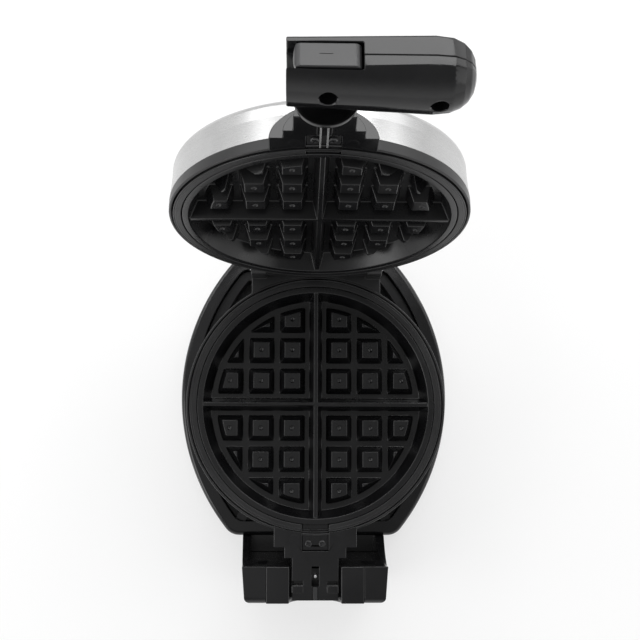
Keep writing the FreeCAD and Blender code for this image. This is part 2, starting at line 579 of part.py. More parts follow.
def handle_shell(label, side):
    """One half of the handle, with its share of the pivot slot, the button's bay and the screw wells."""
    shell = body(label, LID)
    upper = side > 0
    handle_form(shell, side)
    turn = "(pivot_front - collar_end - root_gap)"
    corner = [("-2 * handle_root", "-pivot_front"), (f"-{turn}", "-pivot_front", turn, -1),
              ("0", f"-pivot_front + {turn}"), ("0", "0"), ("-2 * handle_root", "0")]
    pocket(shell, "level", "0", [corner], "3 * end_belly", both=True)
    reach = "tongue_half + slot_gap"
    slot = [("-2 * handle_root", f"-pivot_front - ({reach})"), ("0", f"-pivot_front - ({reach})", reach, 1),
            (reach, "-pivot_front"), (reach, "0"), ("-2 * handle_root", "0")]
    pocket(shell, "level", "0", [slot], "tongue_thick / 2 + slot_gap", against=not upper)
    bay = box_loop("-2 * handle_root", "button_right + button_gap", "-handle_front - 1",
                   "-handle_front + button_depth + button_travel + button_gap")
    height = "button_high" if upper else "button_low"
    pocket(shell, "level", "0", [bay], f"{height} + button_gap", against=not upper)
    pocket(shell, "level", "0", [("0", "-pivot_front", "pivot_radius + run_gap / 2")], "pivot_web",
           against=not upper)
    bores = [("tip_screw", "-tip_screw_front", "screw_radius + pin_gap")]
    if upper:
        pocket(shell, "level", "0", bores, "tip_screw_length - pivot_web + tip_gap", against=False)
    else:
        wells = [("0", "-pivot_front", "screw_well"), ("tip_screw", "-tip_screw_front", "screw_well")]
        pocket(shell, "level", "-pivot_web", wells, "end_belly")
        pocket(shell, "level", "0", bores, "end_belly")


def handle_parts():
    """Both shells, the pivot pin and the screw at the tip."""
    handle_shell("handle_top_shell", 1)
    handle_shell("handle_bottom_shell", -1)
    pin = body("handle_pivot_pin", LID)
    pad(pin, "level", "0", [("0", "-pivot_front", "pivot_radius")], "2 * (pivot_web - pivot_slack)", both=True)
    keep(screw("tip_screw", "-tip_screw_front", "-pivot_web", "down", "tip_screw_length"), "handle_screw", LID)


def release_button():
    """The push button on the handle's front that frees the fold, with a bore for its spring."""
    button = body("release_button", LID)
    bar = box_loop("-button_left", "button_right", "-handle_front - button_proud", "-handle_front + button_depth")
    pad(button, "level", "-button_low", [bar], "button_low + button_high")
    rounded(button, "button_corner", lambda edge: vertical(edge)
            and edge.CenterOfMass.y < value("-handle_front + 1"))
    middle = "(button_right - 2 * (spring_radius + spring_wire))"
    bore = [(middle, "0", "spring_radius + spring_wire + spring_gap")]
    pocket(button, "front", "handle_front - button_depth", bore, "button_depth / 2", against=False)
    spring = body("button_spring", LID)
    tube = [(middle, "0", "spring_radius + spring_wire"), (middle, "0", "spring_radius - spring_wire")]
    pad(spring, "front", "handle_front - button_depth - button_travel - button_gap", tube,
        "button_depth / 2 + button_travel + button_gap - spring_slack")


def bow(inset, along):
    """Half the width of the base's outline, drawn in from its edge, at one place along the base."""
    return f"base_half - side_radius + sqrt((side_radius - {inset}) ^ 2 - ({along} - base_middle) ^ 2)"


def barrel(inset, front, back):
    """The base's outline seen from above, drawn in from its edge: bowed sides between straight ends."""
    radius = f"(side_radius - {inset})"
    at_front = bow(inset, f"-({front})")
    at_back = bow(inset, f"({back})")
    return [(f"-({at_front})", f"-({front})"), (at_front, f"-({front})", radius, 1), (at_back, back),
            (f"-({at_back})", back, radius, 1)]


def base_housing():
    """The moulded rim round the drip tray: bowed sides, a rear deck and a hollow underside."""
    rim = body("base_housing")
    bottom = "foot_height + cover_plate"
    pad(rim, "level", bottom, [barrel("0", "base_front", "base_back")], f"base_height - ({bottom})")
    rounded(rim, "front_corner", lambda edge: vertical(edge) and edge.CenterOfMass.y < 0)
    rounded(rim, "back_corner", lambda edge: vertical(edge) and edge.CenterOfMass.y > value("base_back - 1"))
    top = value("base_height")
    rounded(rim, "rim_round", lambda edge: edge.BoundBox.ZMin > top - 0.01)
    recess = barrel("rim_width", "base_front - rim_width", "recess_back")
    pocket(rim, "level", "base_height", [recess], "base_height - ledge_height")
    rounded(rim, "recess_corner", lambda edge: vertical(edge) and edge.CenterOfMass.z > value("ledge_height"))
    inner = "(rim_width + ledge_width)"
    through = barrel(inner, f"base_front - {inner}", "recess_back - ledge_width")
    pocket(rim, "level", "base_height", [through], "base_height")
    shell = barrel("base_wall", "base_front - base_wall", "base_back - base_wall")
    step = "(rim_width - base_wall)"
    core = barrel(step, f"base_front - {step}", "recess_back + base_wall")
    pocket(rim, "level", bottom, [shell, core], f"base_height - base_wall - ({bottom})", against=False)
    low = f"({inner} - base_wall)"
    ledge = barrel(low, f"base_front - {low}", "recess_back - ledge_width + base_wall")
    pocket(rim, "level", bottom, [core, ledge], f"ledge_height - base_wall - ({bottom})", against=False)
    port = [("gland_side", "gland_height", "gland_radius + run_gap")]
    pocket(rim, "front", "-base_back", port, "2 * base_wall", against=False)


def base_underside():
    """The bottom cover under the rim and the tower, and its four rubber feet."""
    cover = body("base_bottom_cover")
    outline = barrel("cover_inset", "base_front - cover_inset", "base_back - cover_inset")
    pad(cover, "level", "foot_height", [outline], "cover_plate")
    rounded(cover, "front_corner", lambda edge: vertical(edge) and edge.CenterOfMass.y < 0)
    rounded(cover, "back_corner", lambda edge: vertical(edge) and edge.CenterOfMass.y > value("base_back - 1"))
    reach = "(tower_foot - tower_taper - foot_inset)"
    foot = box_loop("-" + reach, reach, "-tower_front + foot_inset", "-base_front / 2")
    pad(cover, "level", "foot_height", [foot], "cover_plate")
    rounded(cover, "tower_corner", lambda edge: vertical(edge)
            and edge.CenterOfMass.y < value("2 * foot_inset - tower_front"))
    feet = []
    for side in (-1, 1):
        feet.append(cylinder("foot_radius", "foot_height", f"{side} * front_foot_side", "-front_foot", "0"))
        feet.append(cylinder("foot_radius", "foot_height", f"{side} * back_foot_side", "back_foot", "0"))
    group("rubber_feet", None, feet)


def drip_tray():
    """The lift-out tray in the recess: a flange on the rim's ledge and a deep pan, with two finger notches."""
    tray = body("drip_tray")
    edge = "(rim_width + pan_gap)"
    pad(tray, "level", "ledge_height", [barrel(edge, f"base_front - {edge}", "recess_back - pan_gap")], "pan_sheet")
    rounded(tray, "recess_corner", vertical)
    outer = "(rim_width + ledge_width + pan_gap)"
    pan = barrel(outer, f"base_front - {outer}", "recess_back - ledge_width - pan_gap")
    pad(tray, "level", "pan_floor", [pan], "ledge_height - pan_floor")
    rounded(tray, "pan_corner", lambda edge: vertical(edge) and edge.CenterOfMass.z < value("ledge_height"))
    wall = "(rim_width + ledge_width + pan_gap + pan_sheet)"
    hollow = barrel(wall, f"base_front - {wall}", "recess_back - ledge_width - pan_gap - pan_sheet")
    pocket(tray, "level", "ledge_height + pan_sheet", [hollow], "ledge_height - pan_floor")
    reach = bow(edge, f"-(base_front - {edge})")
    notches = [(f"{side} * ({reach} - finger_side)", "finger_front - base_front", "finger_radius") for side in (-1, 1)]
    pocket(tray, "level", "ledge_height + pan_sheet", notches, "2 * pan_sheet")


def front_tower():
    """The front stand: tapered sides, a void behind the blocks, swept gussets and an opening for the saddle."""
    tower = body("front_tower")
    bottom = "(foot_height + cover_plate)"
    sections = []
    for place, taper in (("base_front + run_gap", "0"), ("block_back", "0"), ("tower_front", "tower_taper")):
        foot = f"(tower_foot - {taper})"
        top = f"(tower_top - {taper})"
        face = [("-" + foot, bottom), (foot, bottom), (top, "axis_height"), ("-" + top, "axis_height")]
        sections.append(sketch_on(tower, "front", place, [face]))
    lofted(tower, sections)
    rounded(tower, "tower_corner", lambda edge: abs(edge.CenterOfMass.y) > value("tower_front - 0.1")
            and edge.CenterOfMass.z > value(bottom) + 1)
    void = box_loop("-gusset_inner", "gusset_inner", "-block_back", "-base_front + 5")
    pocket(tower, "level", "axis_height", [void], "axis_height - void_floor")
    sweep = [("-block_back", "axis_height + 1"), ("-block_back", "axis_height", "1.2 * axis_height", 1),
             ("-base_front + 1", "base_height"), ("-base_front + 1", "axis_height + 1")]
    pocket(tower, "side", "0", [sweep], "3 * tower_foot", both=True)
    seat = box_loop("-saddle_half - saddle_gap", "saddle_half + saddle_gap", "axis_height - saddle_drop",
                    "axis_height + 1")
    pocket(tower, "front", "block_back - 1", [seat], "tower_front", against=False)
    room = "(tower_top - tower_taper - tower_wall)"
    inside = box_loop("-" + room, room, "-tower_front + tower_wall", "-block_back - tower_wall")
    pocket(tower, "level", bottom, [inside], "axis_height - saddle_drop - tower_wall - foot_height - cover_plate",
           against=False)
    ports = [("0", KNOB_LEVEL, "stem_radius + stem_gap")]
    ports += [(f"{side} * lens_side", KNOB_LEVEL, "lens_radius + run_gap") for side in (-1, 1)]
    pocket(tower, "front", "tower_front", ports, "2 * tower_wall")


def front_saddle():
    """The bearing block let into the tower's top, with a liner that carries the stubs."""
    saddle = body("front_saddle")
    face = [("-saddle_half", "axis_height - saddle_drop"), ("saddle_half", "axis_height - saddle_drop"),
            ("saddle_half", "axis_height"), ("cradle_radius", "axis_height", "cradle_radius", -1),
            ("0", "axis_height - cradle_radius", "cradle_radius", -1), ("-cradle_radius", "axis_height"),
            ("-saddle_half", "axis_height")]
    pad(saddle, "front", "block_back", [face], "tower_front - block_back")
    liner = body("front_bush", LOWER)
    shell = [("-block_back - 1", "-third_step - cradle_gap"), ("-block_back - 1", "-cradle_radius + run_gap"),
             ("-tower_front + 4", "-cradle_radius + run_gap"), ("-tower_front + 4", "-third_step - cradle_gap")]
    turned(liner, "side", "H_Axis", [shell], angle="cradle_spread")


def tower_controls():
    """The browning switch with its stem, the knob on it and the two indicator lenses."""
    switch = body("control_switch")
    case = box_loop("-switch_half", "switch_half", KNOB_LEVEL + " - switch_half", KNOB_LEVEL + " + switch_half")
    pad(switch, "front", "tower_front - tower_wall", [case], "switch_depth", against=True)
    pad(switch, "front", "tower_front - tower_wall", [("0", KNOB_LEVEL, "stem_radius")],
        "tower_wall + knob_depth / 2")
    knob = body("control_knob")
    face = "-tower_front - knob_gap"
    profile = [(face, "stem_radius + pin_gap"), (face, "knob_radius"), (face + " - knob_depth / 4", "knob_radius"),
               (face + " - knob_depth / 4", "knob_radius * 0.85"), (face + " - knob_depth", "knob_radius * 0.78"),
               (face + " - knob_depth", "0"), (face + " - knob_depth / 2", "0"),
               (face + " - knob_depth / 2", "stem_radius + pin_gap")]
    turned(knob, "side", "H_Axis", [profile])
    bind(knob, "Placement", f"placement(vector(0; 0; {KNOB_LEVEL}); rotation(vector(0; 0; 1); 0))")
    lenses = [cylinder("lens_radius", "tower_wall + lens_proud", f"{side} * lens_side",
                       "-tower_front - lens_proud", KNOB_LEVEL, "back") for side in (-1, 1)]
    group("indicator_lenses", None, lenses)


def rear_post():
    """The waisted pedestal behind the turning half, with its bush and the cap over the shaft's end."""
    post = body("rear_post")
    shape = [("-post_foot", "base_height"), ("post_foot", "base_height", "post_sweep", -1),
             ("post_head", "axis_height - post_neck"), ("post_head", "axis_height", "post_head", 1),
             ("0", "axis_height + post_head", "post_head", 1), ("-post_head", "axis_height"),
             ("-post_head", "axis_height - post_neck", "post_sweep", -1)]
    pad(post, "front", "-post_back", [shape], "post_back - post_front")
    pocket(post, "front", "-post_back - 1", [("0", "axis_height", "bush_radius + run_gap / 2")],
           "2 * post_back", both=True)
    bush = body("rear_bush", LOWER)
    tube = [("post_front", "shaft_radius + run_gap"), ("post_back", "shaft_radius + run_gap"),
            ("post_back", "bush_radius"), ("post_front", "bush_radius")]
    turned(bush, "side", "H_Axis", [tube])
    cap = body("rear_cap", LOWER)
    cup = [("post_back", "cap_radius - cap_wall"), ("post_back", "cap_radius"),
           ("post_back + cap_depth", "cap_radius"), ("post_back + cap_depth", "0"),
           ("post_back + cap_depth - cap_wall", "0"), ("post_back + cap_depth - cap_wall", "cap_radius - cap_wall")]
    turned(cap, "side", "H_Axis", [cup])


def base_wiring():
    """The cord's gland in the rear wall and the terminal block under the deck."""
    gland = body("cord_gland")
    profile = [("base_back - base_wall - gland_inside", "gland_bore"), ("base_back + gland_proud", "gland_bore"),
               ("base_back + gland_proud", "gland_lip"), ("base_back", "gland_lip"), ("base_back", "gland_radius"),
               ("base_back - base_wall - gland_inside", "gland_radius")]
    turned(gland, "side", "H_Axis", [profile])
    bind(gland, "Placement", "placement(vector(gland_side; 0; gland_height); rotation(vector(0; 0; 1); 0))")
    block = body("terminal_block")
    base = "foot_height + cover_plate"
    case = box_loop("-terminal_left", "terminal_right", "terminal_front", "terminal_back")
    pad(block, "level", base, [case], "terminal_height")
    wires = [(f"{spot} * terminal_pitch - terminal_first", "(terminal_front + terminal_back) / 2", "terminal_bore")
             for spot in range(4)]
    pocket(block, "level", base + " + terminal_height", wires, "terminal_bore_depth")


def main():
    """Build every sub-part, test it and write it."""
    for prefix, place in (("lower", LOWER), ("upper", UPPER)):
        waffle_plate(prefix + "_plate", place)
        rim_ring(prefix + "_ring", place)
        steel_cover(prefix + "_cover", place)
        heater(prefix + "_heater", place)
        heat_tray(prefix + "_reflector", place)
        half_screws(prefix, place)
    cut_out("thermostat", LOWER)
    cut_out("thermal_cutout", UPPER)
    lower_trunnion()
    upper_trunnion()
    hinge_bracket()
    rear_shaft()
    hinge_pin()
    lid_hinge_arms()
    handle_neck()
    handle_parts()
    release_button()
    base_housing()
    base_underside()
    drip_tray()
    front_tower()
    front_saddle()
    tower_controls()
    rear_post()
    base_wiring()
    doc.recompute()
    for item in doc.Objects:
        if "Invalid" in item.State or "Error" in item.State:
            raise ValueError(f"{item.Label} failed to build")
    for item in subparts:
        if item.Shape.isNull() or not item.Shape.isValid() or not item.Shape.Solids:
            raise ValueError(f"{item.Label} has no valid solid")
    os.makedirs("parts", exist_ok=True)
    for item in subparts:
        item.Shape.exportStep(os.path.join("parts", item.Label + ".step"))


main()
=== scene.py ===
import bpy
import json
import math
from mathutils import Matrix, Vector


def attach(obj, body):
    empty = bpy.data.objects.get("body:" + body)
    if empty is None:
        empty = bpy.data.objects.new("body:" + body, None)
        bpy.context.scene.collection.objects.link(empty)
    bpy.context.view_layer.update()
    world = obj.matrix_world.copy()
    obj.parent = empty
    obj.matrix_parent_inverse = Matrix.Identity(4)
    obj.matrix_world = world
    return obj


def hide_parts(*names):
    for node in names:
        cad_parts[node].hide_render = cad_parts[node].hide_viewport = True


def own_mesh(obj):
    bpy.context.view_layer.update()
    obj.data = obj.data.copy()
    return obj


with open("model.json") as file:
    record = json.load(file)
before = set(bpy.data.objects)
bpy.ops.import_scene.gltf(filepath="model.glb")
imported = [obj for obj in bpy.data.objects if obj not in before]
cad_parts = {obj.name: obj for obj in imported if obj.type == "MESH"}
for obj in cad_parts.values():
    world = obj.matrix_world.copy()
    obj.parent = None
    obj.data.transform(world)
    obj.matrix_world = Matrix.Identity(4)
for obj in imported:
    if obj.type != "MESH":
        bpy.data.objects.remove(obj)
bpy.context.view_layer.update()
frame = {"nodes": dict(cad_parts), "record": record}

MM = 0.001
AXIS_HEIGHT = 120
HINGE_BACK = 108.7
HINGE_UP = 11.3
LID_OPEN = math.radians(102.46)

# The lid is modelled shut, in the plates' own plane, and then swung open on the hinge
HINGE = Vector((0, HINGE_BACK * MM, (AXIS_HEIGHT + HINGE_UP) * MM))
SWING = Matrix.Translation(HINGE) @ Matrix.Rotation(-LID_OPEN, 4, "X") @ Matrix.Translation(-HINGE)

BODY_OF = {}
for body_name, members in frame["record"]["behaviour"]["bodies"].items():
    for member in members:
        BODY_OF[member] = body_name
SLOT_OF = {row["node"]: row["material_slot"] for row in frame["record"]["subparts"]}


# Selecting and editing
def only(piece):
    """Select one piece and nothing else."""
    bpy.ops.object.select_all(action="DESELECT")
    piece.select_set(True)
    bpy.context.view_layer.objects.active = piece


def edit(piece):
    """Open a piece for editing with nothing selected."""
    only(piece)
    bpy.ops.object.mode_set(mode="EDIT")
    bpy.ops.mesh.select_all(action="DESELECT")


def leave():
    """Back from editing."""
    bpy.ops.object.mode_set(mode="OBJECT")


def choose(piece, test, kind="FACE"):
    """While editing, select the faces, edges or corners that a test picks."""
    bpy.ops.mesh.select_mode(type=kind)
    leave()
    mesh = piece.data
    for group in (mesh.vertices, mesh.edges, mesh.polygons):
        group.foreach_set("select", [False] * len(group))
    items = {"FACE": mesh.polygons, "EDGE": mesh.edges, "VERT": mesh.vertices}[kind]
    for item in items:
        item.select = test(item)
    bpy.ops.object.mode_set(mode="EDIT")


def with_modifier(piece, kind, **settings):
    """Add one modifier, set it and apply it."""
    only(piece)
    modifier = piece.modifiers.new(kind.lower(), kind)
    for name, value in settings.items():
        setattr(modifier, name, value)
    bpy.ops.object.modifier_apply(modifier=modifier.name)


def smooth(piece, angle=35):
    """Smooth shading that keeps edges sharper than the angle, with flat faces left flat."""
    only(piece)
    bpy.ops.object.shade_smooth_by_angle(angle=math.radians(angle))
    with_modifier(piece, "WEIGHTED_NORMAL", keep_sharp=True, weight=50)


def settle(piece, lid=False):
    """Put a piece's place into its mesh, swung open if it belongs to the lid."""
    if lid:
        bpy.context.view_layer.update()
        piece.matrix_world = SWING @ piece.matrix_world
    only(piece)
    bpy.ops.object.transform_apply(location=True, rotation=True, scale=True)


def join(pieces, name):
    """Several pieces as one."""
    bpy.ops.object.select_all(action="DESELECT")
    for piece in pieces:
        piece.select_set(True)
    bpy.context.view_layer.objects.active = pieces[0]
    bpy.ops.object.join()
    pieces[0].name = name
    return pieces[0]


def twin(piece):
    """A copy with its own mesh."""
    only(piece)
    bpy.ops.object.duplicate(linked=False)
    return bpy.context.object


def cut(piece, tool):
    """Take one shape out of a piece and clear the tool away."""
    with_modifier(piece, "BOOLEAN", operation="DIFFERENCE", solver="EXACT", object=tool)
    bpy.data.objects.remove(tool)


def ease(piece, width, segments=3, angle=30):
    """Round the sharp edges of a piece by a width in millimetres."""
    with_modifier(piece, "BEVEL", width=width * MM, segments=segments, limit_method="ANGLE",
                  angle_limit=math.radians(angle), use_clamp_overlap=False, miter_outer="MITER_ARC")


def settled_on(piece, body, finish, nodes=()):
    """Give a finished piece its material, its body and the nodes that it stands for."""
    piece.data.materials.clear()
    piece.data.materials.append(finish)
    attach(piece, body)
    if nodes:
        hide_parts(*nodes)
    return piece


def moulded(node):
    """A copy of a plain node with its doubled corners merged and its triangles paired."""
    source = frame["nodes"][node]
    piece = bpy.data.objects.new(node + "_finished", source.data.copy())
    bpy.context.scene.collection.objects.link(piece)
    only(piece)
    if piece.data.has_custom_normals:
        bpy.ops.mesh.customdata_custom_splitnormals_clear()
    edit(piece)
    bpy.ops.mesh.select_all(action="SELECT")
    bpy.ops.mesh.remove_doubles(threshold=0.002 * MM)
    bpy.ops.mesh.beautify_fill(angle_limit=math.radians(1.0))
    bpy.ops.mesh.tris_convert_to_quads(face_threshold=math.radians(1.0), shape_threshold=math.radians(50))
    leave()
    return piece


# Fine shapes that the plain parts don't carry
def ball(radius, place, segments=20):
    """A small ball at a place in millimetres."""
    bpy.ops.mesh.primitive_uv_sphere_add(segments=segments, ring_count=segments // 2, radius=radius * MM,
                                         location=[value * MM for value in place])
    return bpy.context.object


def rod(radius, length, place, turn=(0, 0, 0), sides=32):
    """A round bar centred at a place in millimetres."""
    bpy.ops.mesh.primitive_cylinder_add(vertices=sides, radius=radius * MM, depth=length * MM,
                                        location=[value * MM for value in place], rotation=turn)
    return bpy.context.object


def block(low, high):
    """A box between two corners in millimetres."""
    bpy.ops.mesh.primitive_cube_add(size=MM, location=[(a + b) / 2 * MM for a, b in zip(low, high)])
    piece = bpy.context.object
    piece.scale = [b - a for a, b in zip(low, high)]
    settle(piece)
    return piece


def placed(piece, places, name, lid=False):
    """One piece copied to several places in millimetres and joined; the first is the piece itself."""
    copies = [piece] + [twin(piece) for place in places[1:]]
    for copy, place in zip(copies, places):
        copy.location = [value * MM for value in place]
    whole = join(copies, name) if len(copies) > 1 else copies[0]
    whole.name = name
    settle(whole, lid)
    return whole


def cone(low_radius, high_radius, low, high, place=(0, 0), sides=48):
    """An upright cone between two levels in millimetres."""
    bpy.ops.mesh.primitive_cone_add(vertices=sides, radius1=low_radius * MM, radius2=high_radius * MM,
                                    depth=(high - low) * MM,
                                    location=(place[0] * MM, place[1] * MM, (low + high) / 2 * MM))
    piece = bpy.context.object
    settle(piece)
    return piece


def hollowed(piece, wall):
    """Open an upright round piece from end to end, leaving a wall in millimetres."""
    edit(piece)
    choose(piece, lambda face: abs(face.normal.z) > 0.9)
    bpy.ops.mesh.inset(thickness=wall * MM)
    bpy.ops.mesh.bridge_edge_loops()
    leave()
    return piece


# Shared surface effects
def new_group(name, inputs, outputs):
    """An empty shader group with named sockets."""
    group = bpy.data.node_groups.new(name, "ShaderNodeTree")
    for socket, default in inputs:
        kind = "NodeSocketVector" if default is None else "NodeSocketFloat"
        made = group.interface.new_socket(name=socket, in_out="INPUT", socket_type=kind)
        if default is not None:
            made.default_value = default
    for socket in outputs:
        group.interface.new_socket(name=socket, in_out="OUTPUT", socket_type="NodeSocketFloat")
    return group, group.nodes.new("NodeGroupInput"), group.nodes.new("NodeGroupOutput")


def add(tree, kind, **values):
    """One node with some of its inputs set; an input given as a socket is linked."""
    node = tree.nodes.new(kind)
    for name, value in values.items():
        socket = node.inputs[name.replace("_", " ")]
        if isinstance(value, bpy.types.NodeSocket):
            tree.links.new(value, socket)
        else:
            socket.default_value = value
    return node


def ramp(tree, source, low, high, start=0.0, end=1.0):
    """Stretch a value from one range to another."""
    node = tree.nodes.new("ShaderNodeMapRange")
    tree.links.new(source, node.inputs["Value"])
    for name, value in (("From Min", start), ("From Max", end), ("To Min", low), ("To Max", high)):
        node.inputs[name].default_value = value
    return node.outputs["Result"]


def moulded_grain():
    """Fine spark-eroded grain with soft clouds of wear and a few specks."""
    group, given, result = new_group("moulded_grain", [("Vector", None), ("Grain", 2200), ("Clouds", 28),
                                                       ("Specks", 900)], ["Height", "Wear", "Specks"])
    fine = add(group, "ShaderNodeTexNoise", Vector=given.outputs["Vector"], Scale=given.outputs["Grain"],
               Detail=3.0, Roughness=0.6)
    cloud = add(group, "ShaderNodeTexNoise", Vector=given.outputs["Vector"], Scale=given.outputs["Clouds"],
                Detail=5.0, Roughness=0.62)
    dots = add(group, "ShaderNodeTexVoronoi", Vector=given.outputs["Vector"], Scale=given.outputs["Specks"])
    group.links.new(fine.outputs[0], result.inputs["Height"])
    group.links.new(ramp(group, cloud.outputs[0], 0.0, 1.0, 0.36, 0.66), result.inputs["Wear"])
    group.links.new(ramp(group, dots.outputs["Distance"], 1.0, 0.0, 0.08, 0.2), result.inputs["Specks"])
    return group


def brushed_lines():
    """Long fine lines round a turned sheet, with faint bands and rub marks."""
    group, given, result = new_group("brushed_lines", [("Vector", None), ("Lines", 3000)], ["Height", "Rub"])
    parts = add(group, "ShaderNodeSeparateXYZ", Vector=given.outputs["Vector"])
    flat = add(group, "ShaderNodeCombineXYZ", X=parts.outputs["X"], Y=parts.outputs["Y"])
    reach = group.nodes.new("ShaderNodeVectorMath")
    reach.operation = "LENGTH"
    group.links.new(flat.outputs["Vector"], reach.inputs[0])
    turn = group.nodes.new("ShaderNodeMath")
    turn.operation = "ARCTAN2"
    group.links.new(parts.outputs["Y"], turn.inputs[0])
    group.links.new(parts.outputs["X"], turn.inputs[1])
    slow = group.nodes.new("ShaderNodeMath")
    slow.operation = "MULTIPLY"
    group.links.new(turn.outputs[0], slow.inputs[0])
    slow.inputs[1].default_value = 0.004
    line = add(group, "ShaderNodeCombineXYZ", X=reach.outputs["Value"], Y=slow.outputs[0],
               Z=parts.outputs["Z"])
    hair = add(group, "ShaderNodeTexNoise", Vector=line.outputs["Vector"], Scale=given.outputs["Lines"],
               Detail=4.0, Roughness=0.7)
    rub = add(group, "ShaderNodeTexNoise", Vector=given.outputs["Vector"], Scale=22.0, Detail=4.0,
              Roughness=0.6)
    group.links.new(hair.outputs[0], result.inputs["Height"])
    group.links.new(ramp(group, rub.outputs[0], 0.0, 1.0, 0.35, 0.7), result.inputs["Rub"])
    return group


GRAIN = moulded_grain()
BRUSHED = brushed_lines()


def shader(name, rough, metallic=0.0, specular=0.5):
    """A new material with one principled surface and object coordinates."""
    finish = bpy.data.materials.new(name)
    finish.use_nodes = True
    tree = finish.node_tree
    surface = tree.nodes["Principled BSDF"]
    surface.inputs["Roughness"].default_value = rough
    surface.inputs["Metallic"].default_value = metallic
    surface.inputs["Specular IOR Level"].default_value = specular
    place = tree.nodes.new("ShaderNodeTexCoord").outputs["Object"]
    return finish, tree, surface, place


def tint(tree, share, plain, marked):
    """A colour between two, by a share that changes over the surface."""
    mix = tree.nodes.new("ShaderNodeMix")
    mix.data_type = "RGBA"
    tree.links.new(share, mix.inputs[0])
    mix.inputs[6].default_value = (*plain, 1)
    mix.inputs[7].default_value = (*marked, 1)
    return mix.outputs[2]


def raised(tree, surface, height, strength, distance):
    """Fine relief from a height."""
    bump = add(tree, "ShaderNodeBump", Strength=strength, Distance=distance, Height=height)
    tree.links.new(bump.outputs["Normal"], surface.inputs["Normal"])


def plastic(name, plain, worn, rough_low, rough_high, grain=2200.0, strength=0.2, specular=0.5, mark="Wear",
            specks=900.0, clouds=28.0):
    """Moulded plastic, rubber or coating: two shades, uneven gloss and fine grain."""
    finish, tree, surface, place = shader(name, rough_low, specular=specular)
    marks = tree.nodes.new("ShaderNodeGroup")
    marks.node_tree = GRAIN
    tree.links.new(place, marks.inputs["Vector"])
    marks.inputs["Grain"].default_value = grain
    marks.inputs["Specks"].default_value = specks
    marks.inputs["Clouds"].default_value = clouds
    tree.links.new(tint(tree, marks.outputs[mark], plain, worn), surface.inputs["Base Color"])
    tree.links.new(ramp(tree, marks.outputs["Wear"], rough_low, rough_high), surface.inputs["Roughness"])
    raised(tree, surface, marks.outputs["Height"], strength, 0.00006)
    return finish


def sheet_steel(name, plain, worn, rough_low, rough_high, turn=None, middle=(0, 0, 0)):
    """Brushed sheet, with its lines round the axis of the half that it covers."""
    finish, tree, surface, place = shader(name, rough_low, metallic=1.0)
    aim = tree.nodes.new("ShaderNodeMapping")
    aim.inputs["Location"].default_value = middle
    if turn:
        aim.inputs["Rotation"].default_value = turn
    tree.links.new(place, aim.inputs["Vector"])
    marks = tree.nodes.new("ShaderNodeGroup")
    marks.node_tree = BRUSHED
    tree.links.new(aim.outputs["Vector"], marks.inputs["Vector"])
    tree.links.new(tint(tree, marks.outputs["Rub"], plain, worn), surface.inputs["Base Color"])
    gloss = ramp(tree, marks.outputs["Height"], rough_low, rough_high, 0.25, 0.75)
    tree.links.new(gloss, surface.inputs["Roughness"])
    raised(tree, surface, marks.outputs["Height"], 0.12, 0.00003)
    return finish


BLACK = (0.005, 0.005, 0.0055)
WORN_BLACK = (0.008, 0.008, 0.0085)
STEEL = (0.50, 0.50, 0.50)
WORN_STEEL = (0.55, 0.55, 0.55)
SATIN = plastic("satin_black_plastic", BLACK, WORN_BLACK, 0.14, 0.22, strength=0.1)
HANDLE = plastic("handle_black_plastic", BLACK, WORN_BLACK, 0.14, 0.22, strength=0.1, specular=0.45)
RING = plastic("heatproof_black_plastic", WORN_BLACK, (0.011, 0.011, 0.0115), 0.32, 0.42, grain=1500.0,
               strength=0.3)
BUTTON = plastic("button_grey_plastic", (0.020, 0.020, 0.021), (0.026, 0.026, 0.027), 0.32, 0.40)
# Tray plastic: its own black, set darker and less shiny than the other black plastic; the extra darkness is
# painted shade for the recess round the tray
TRAY_BLACK_WITH_PAINTED_SHADE = plastic("tray_black_plastic_with_painted_shade", (0.004, 0.004, 0.0045), (0.006, 0.006, 0.0065), 0.24, 0.36,
               strength=0.12, specular=0.28)
COATING = plastic("nonstick_coating", (0.004, 0.004, 0.0045), (0.009, 0.009, 0.0095), 0.24, 0.34,
                  grain=3200.0, strength=0.25, mark="Specks", specks=1400.0)
RUBBER = plastic("foot_rubber", (0.02, 0.02, 0.02), (0.03, 0.03, 0.029), 0.7, 0.85, grain=1200.0,
                 strength=0.4)
NYLON = plastic("natural_nylon", (0.55, 0.53, 0.47), (0.62, 0.60, 0.54), 0.4, 0.5)
CERAMIC = plastic("glazed_ceramic", (0.62, 0.6, 0.56), (0.7, 0.68, 0.64), 0.3, 0.4)
PRINT = plastic("dial_print", (0.62, 0.62, 0.61), (0.7, 0.7, 0.69), 0.5, 0.6)
hinge_turn = Matrix.Rotation(LID_OPEN, 4, "X")
lid_middle = HINGE - hinge_turn @ HINGE
LID_STEEL = sheet_steel("lid_brushed_steel", STEEL, WORN_STEEL, 0.22, 0.34, (LID_OPEN, 0, 0), lid_middle)
UNDER_STEEL = sheet_steel("under_brushed_steel", STEEL, WORN_STEEL, 0.22, 0.34)
PLATED = plastic("zinc_plated_steel", (0.5, 0.5, 0.51), (0.6, 0.6, 0.61), 0.25, 0.4)
SHEATH = plastic("heater_sheath", (0.16, 0.155, 0.15), (0.24, 0.23, 0.22), 0.4, 0.55)
REFLECTOR = plastic("aluminised_sheet", (0.6, 0.6, 0.61), (0.68, 0.68, 0.69), 0.25, 0.35)
POLISHED = plastic("polished_rail", (0.3, 0.3, 0.3), (0.36, 0.36, 0.36), 0.2, 0.3)
BLACKENED = plastic("blacked_screw", (0.012, 0.012, 0.013), (0.03, 0.03, 0.031), 0.2, 0.35)
for metal in (PLATED, SHEATH, REFLECTOR, POLISHED):
    metal.node_tree.nodes["Principled BSDF"].inputs["Metallic"].default_value = 1.0
LENS = plastic("red_lens", (0.5, 0.03, 0.02), (0.56, 0.05, 0.03), 0.08, 0.14, strength=0.03)
LENS.node_tree.nodes["Principled BSDF"].inputs["Transmission Weight"].default_value = 0.6

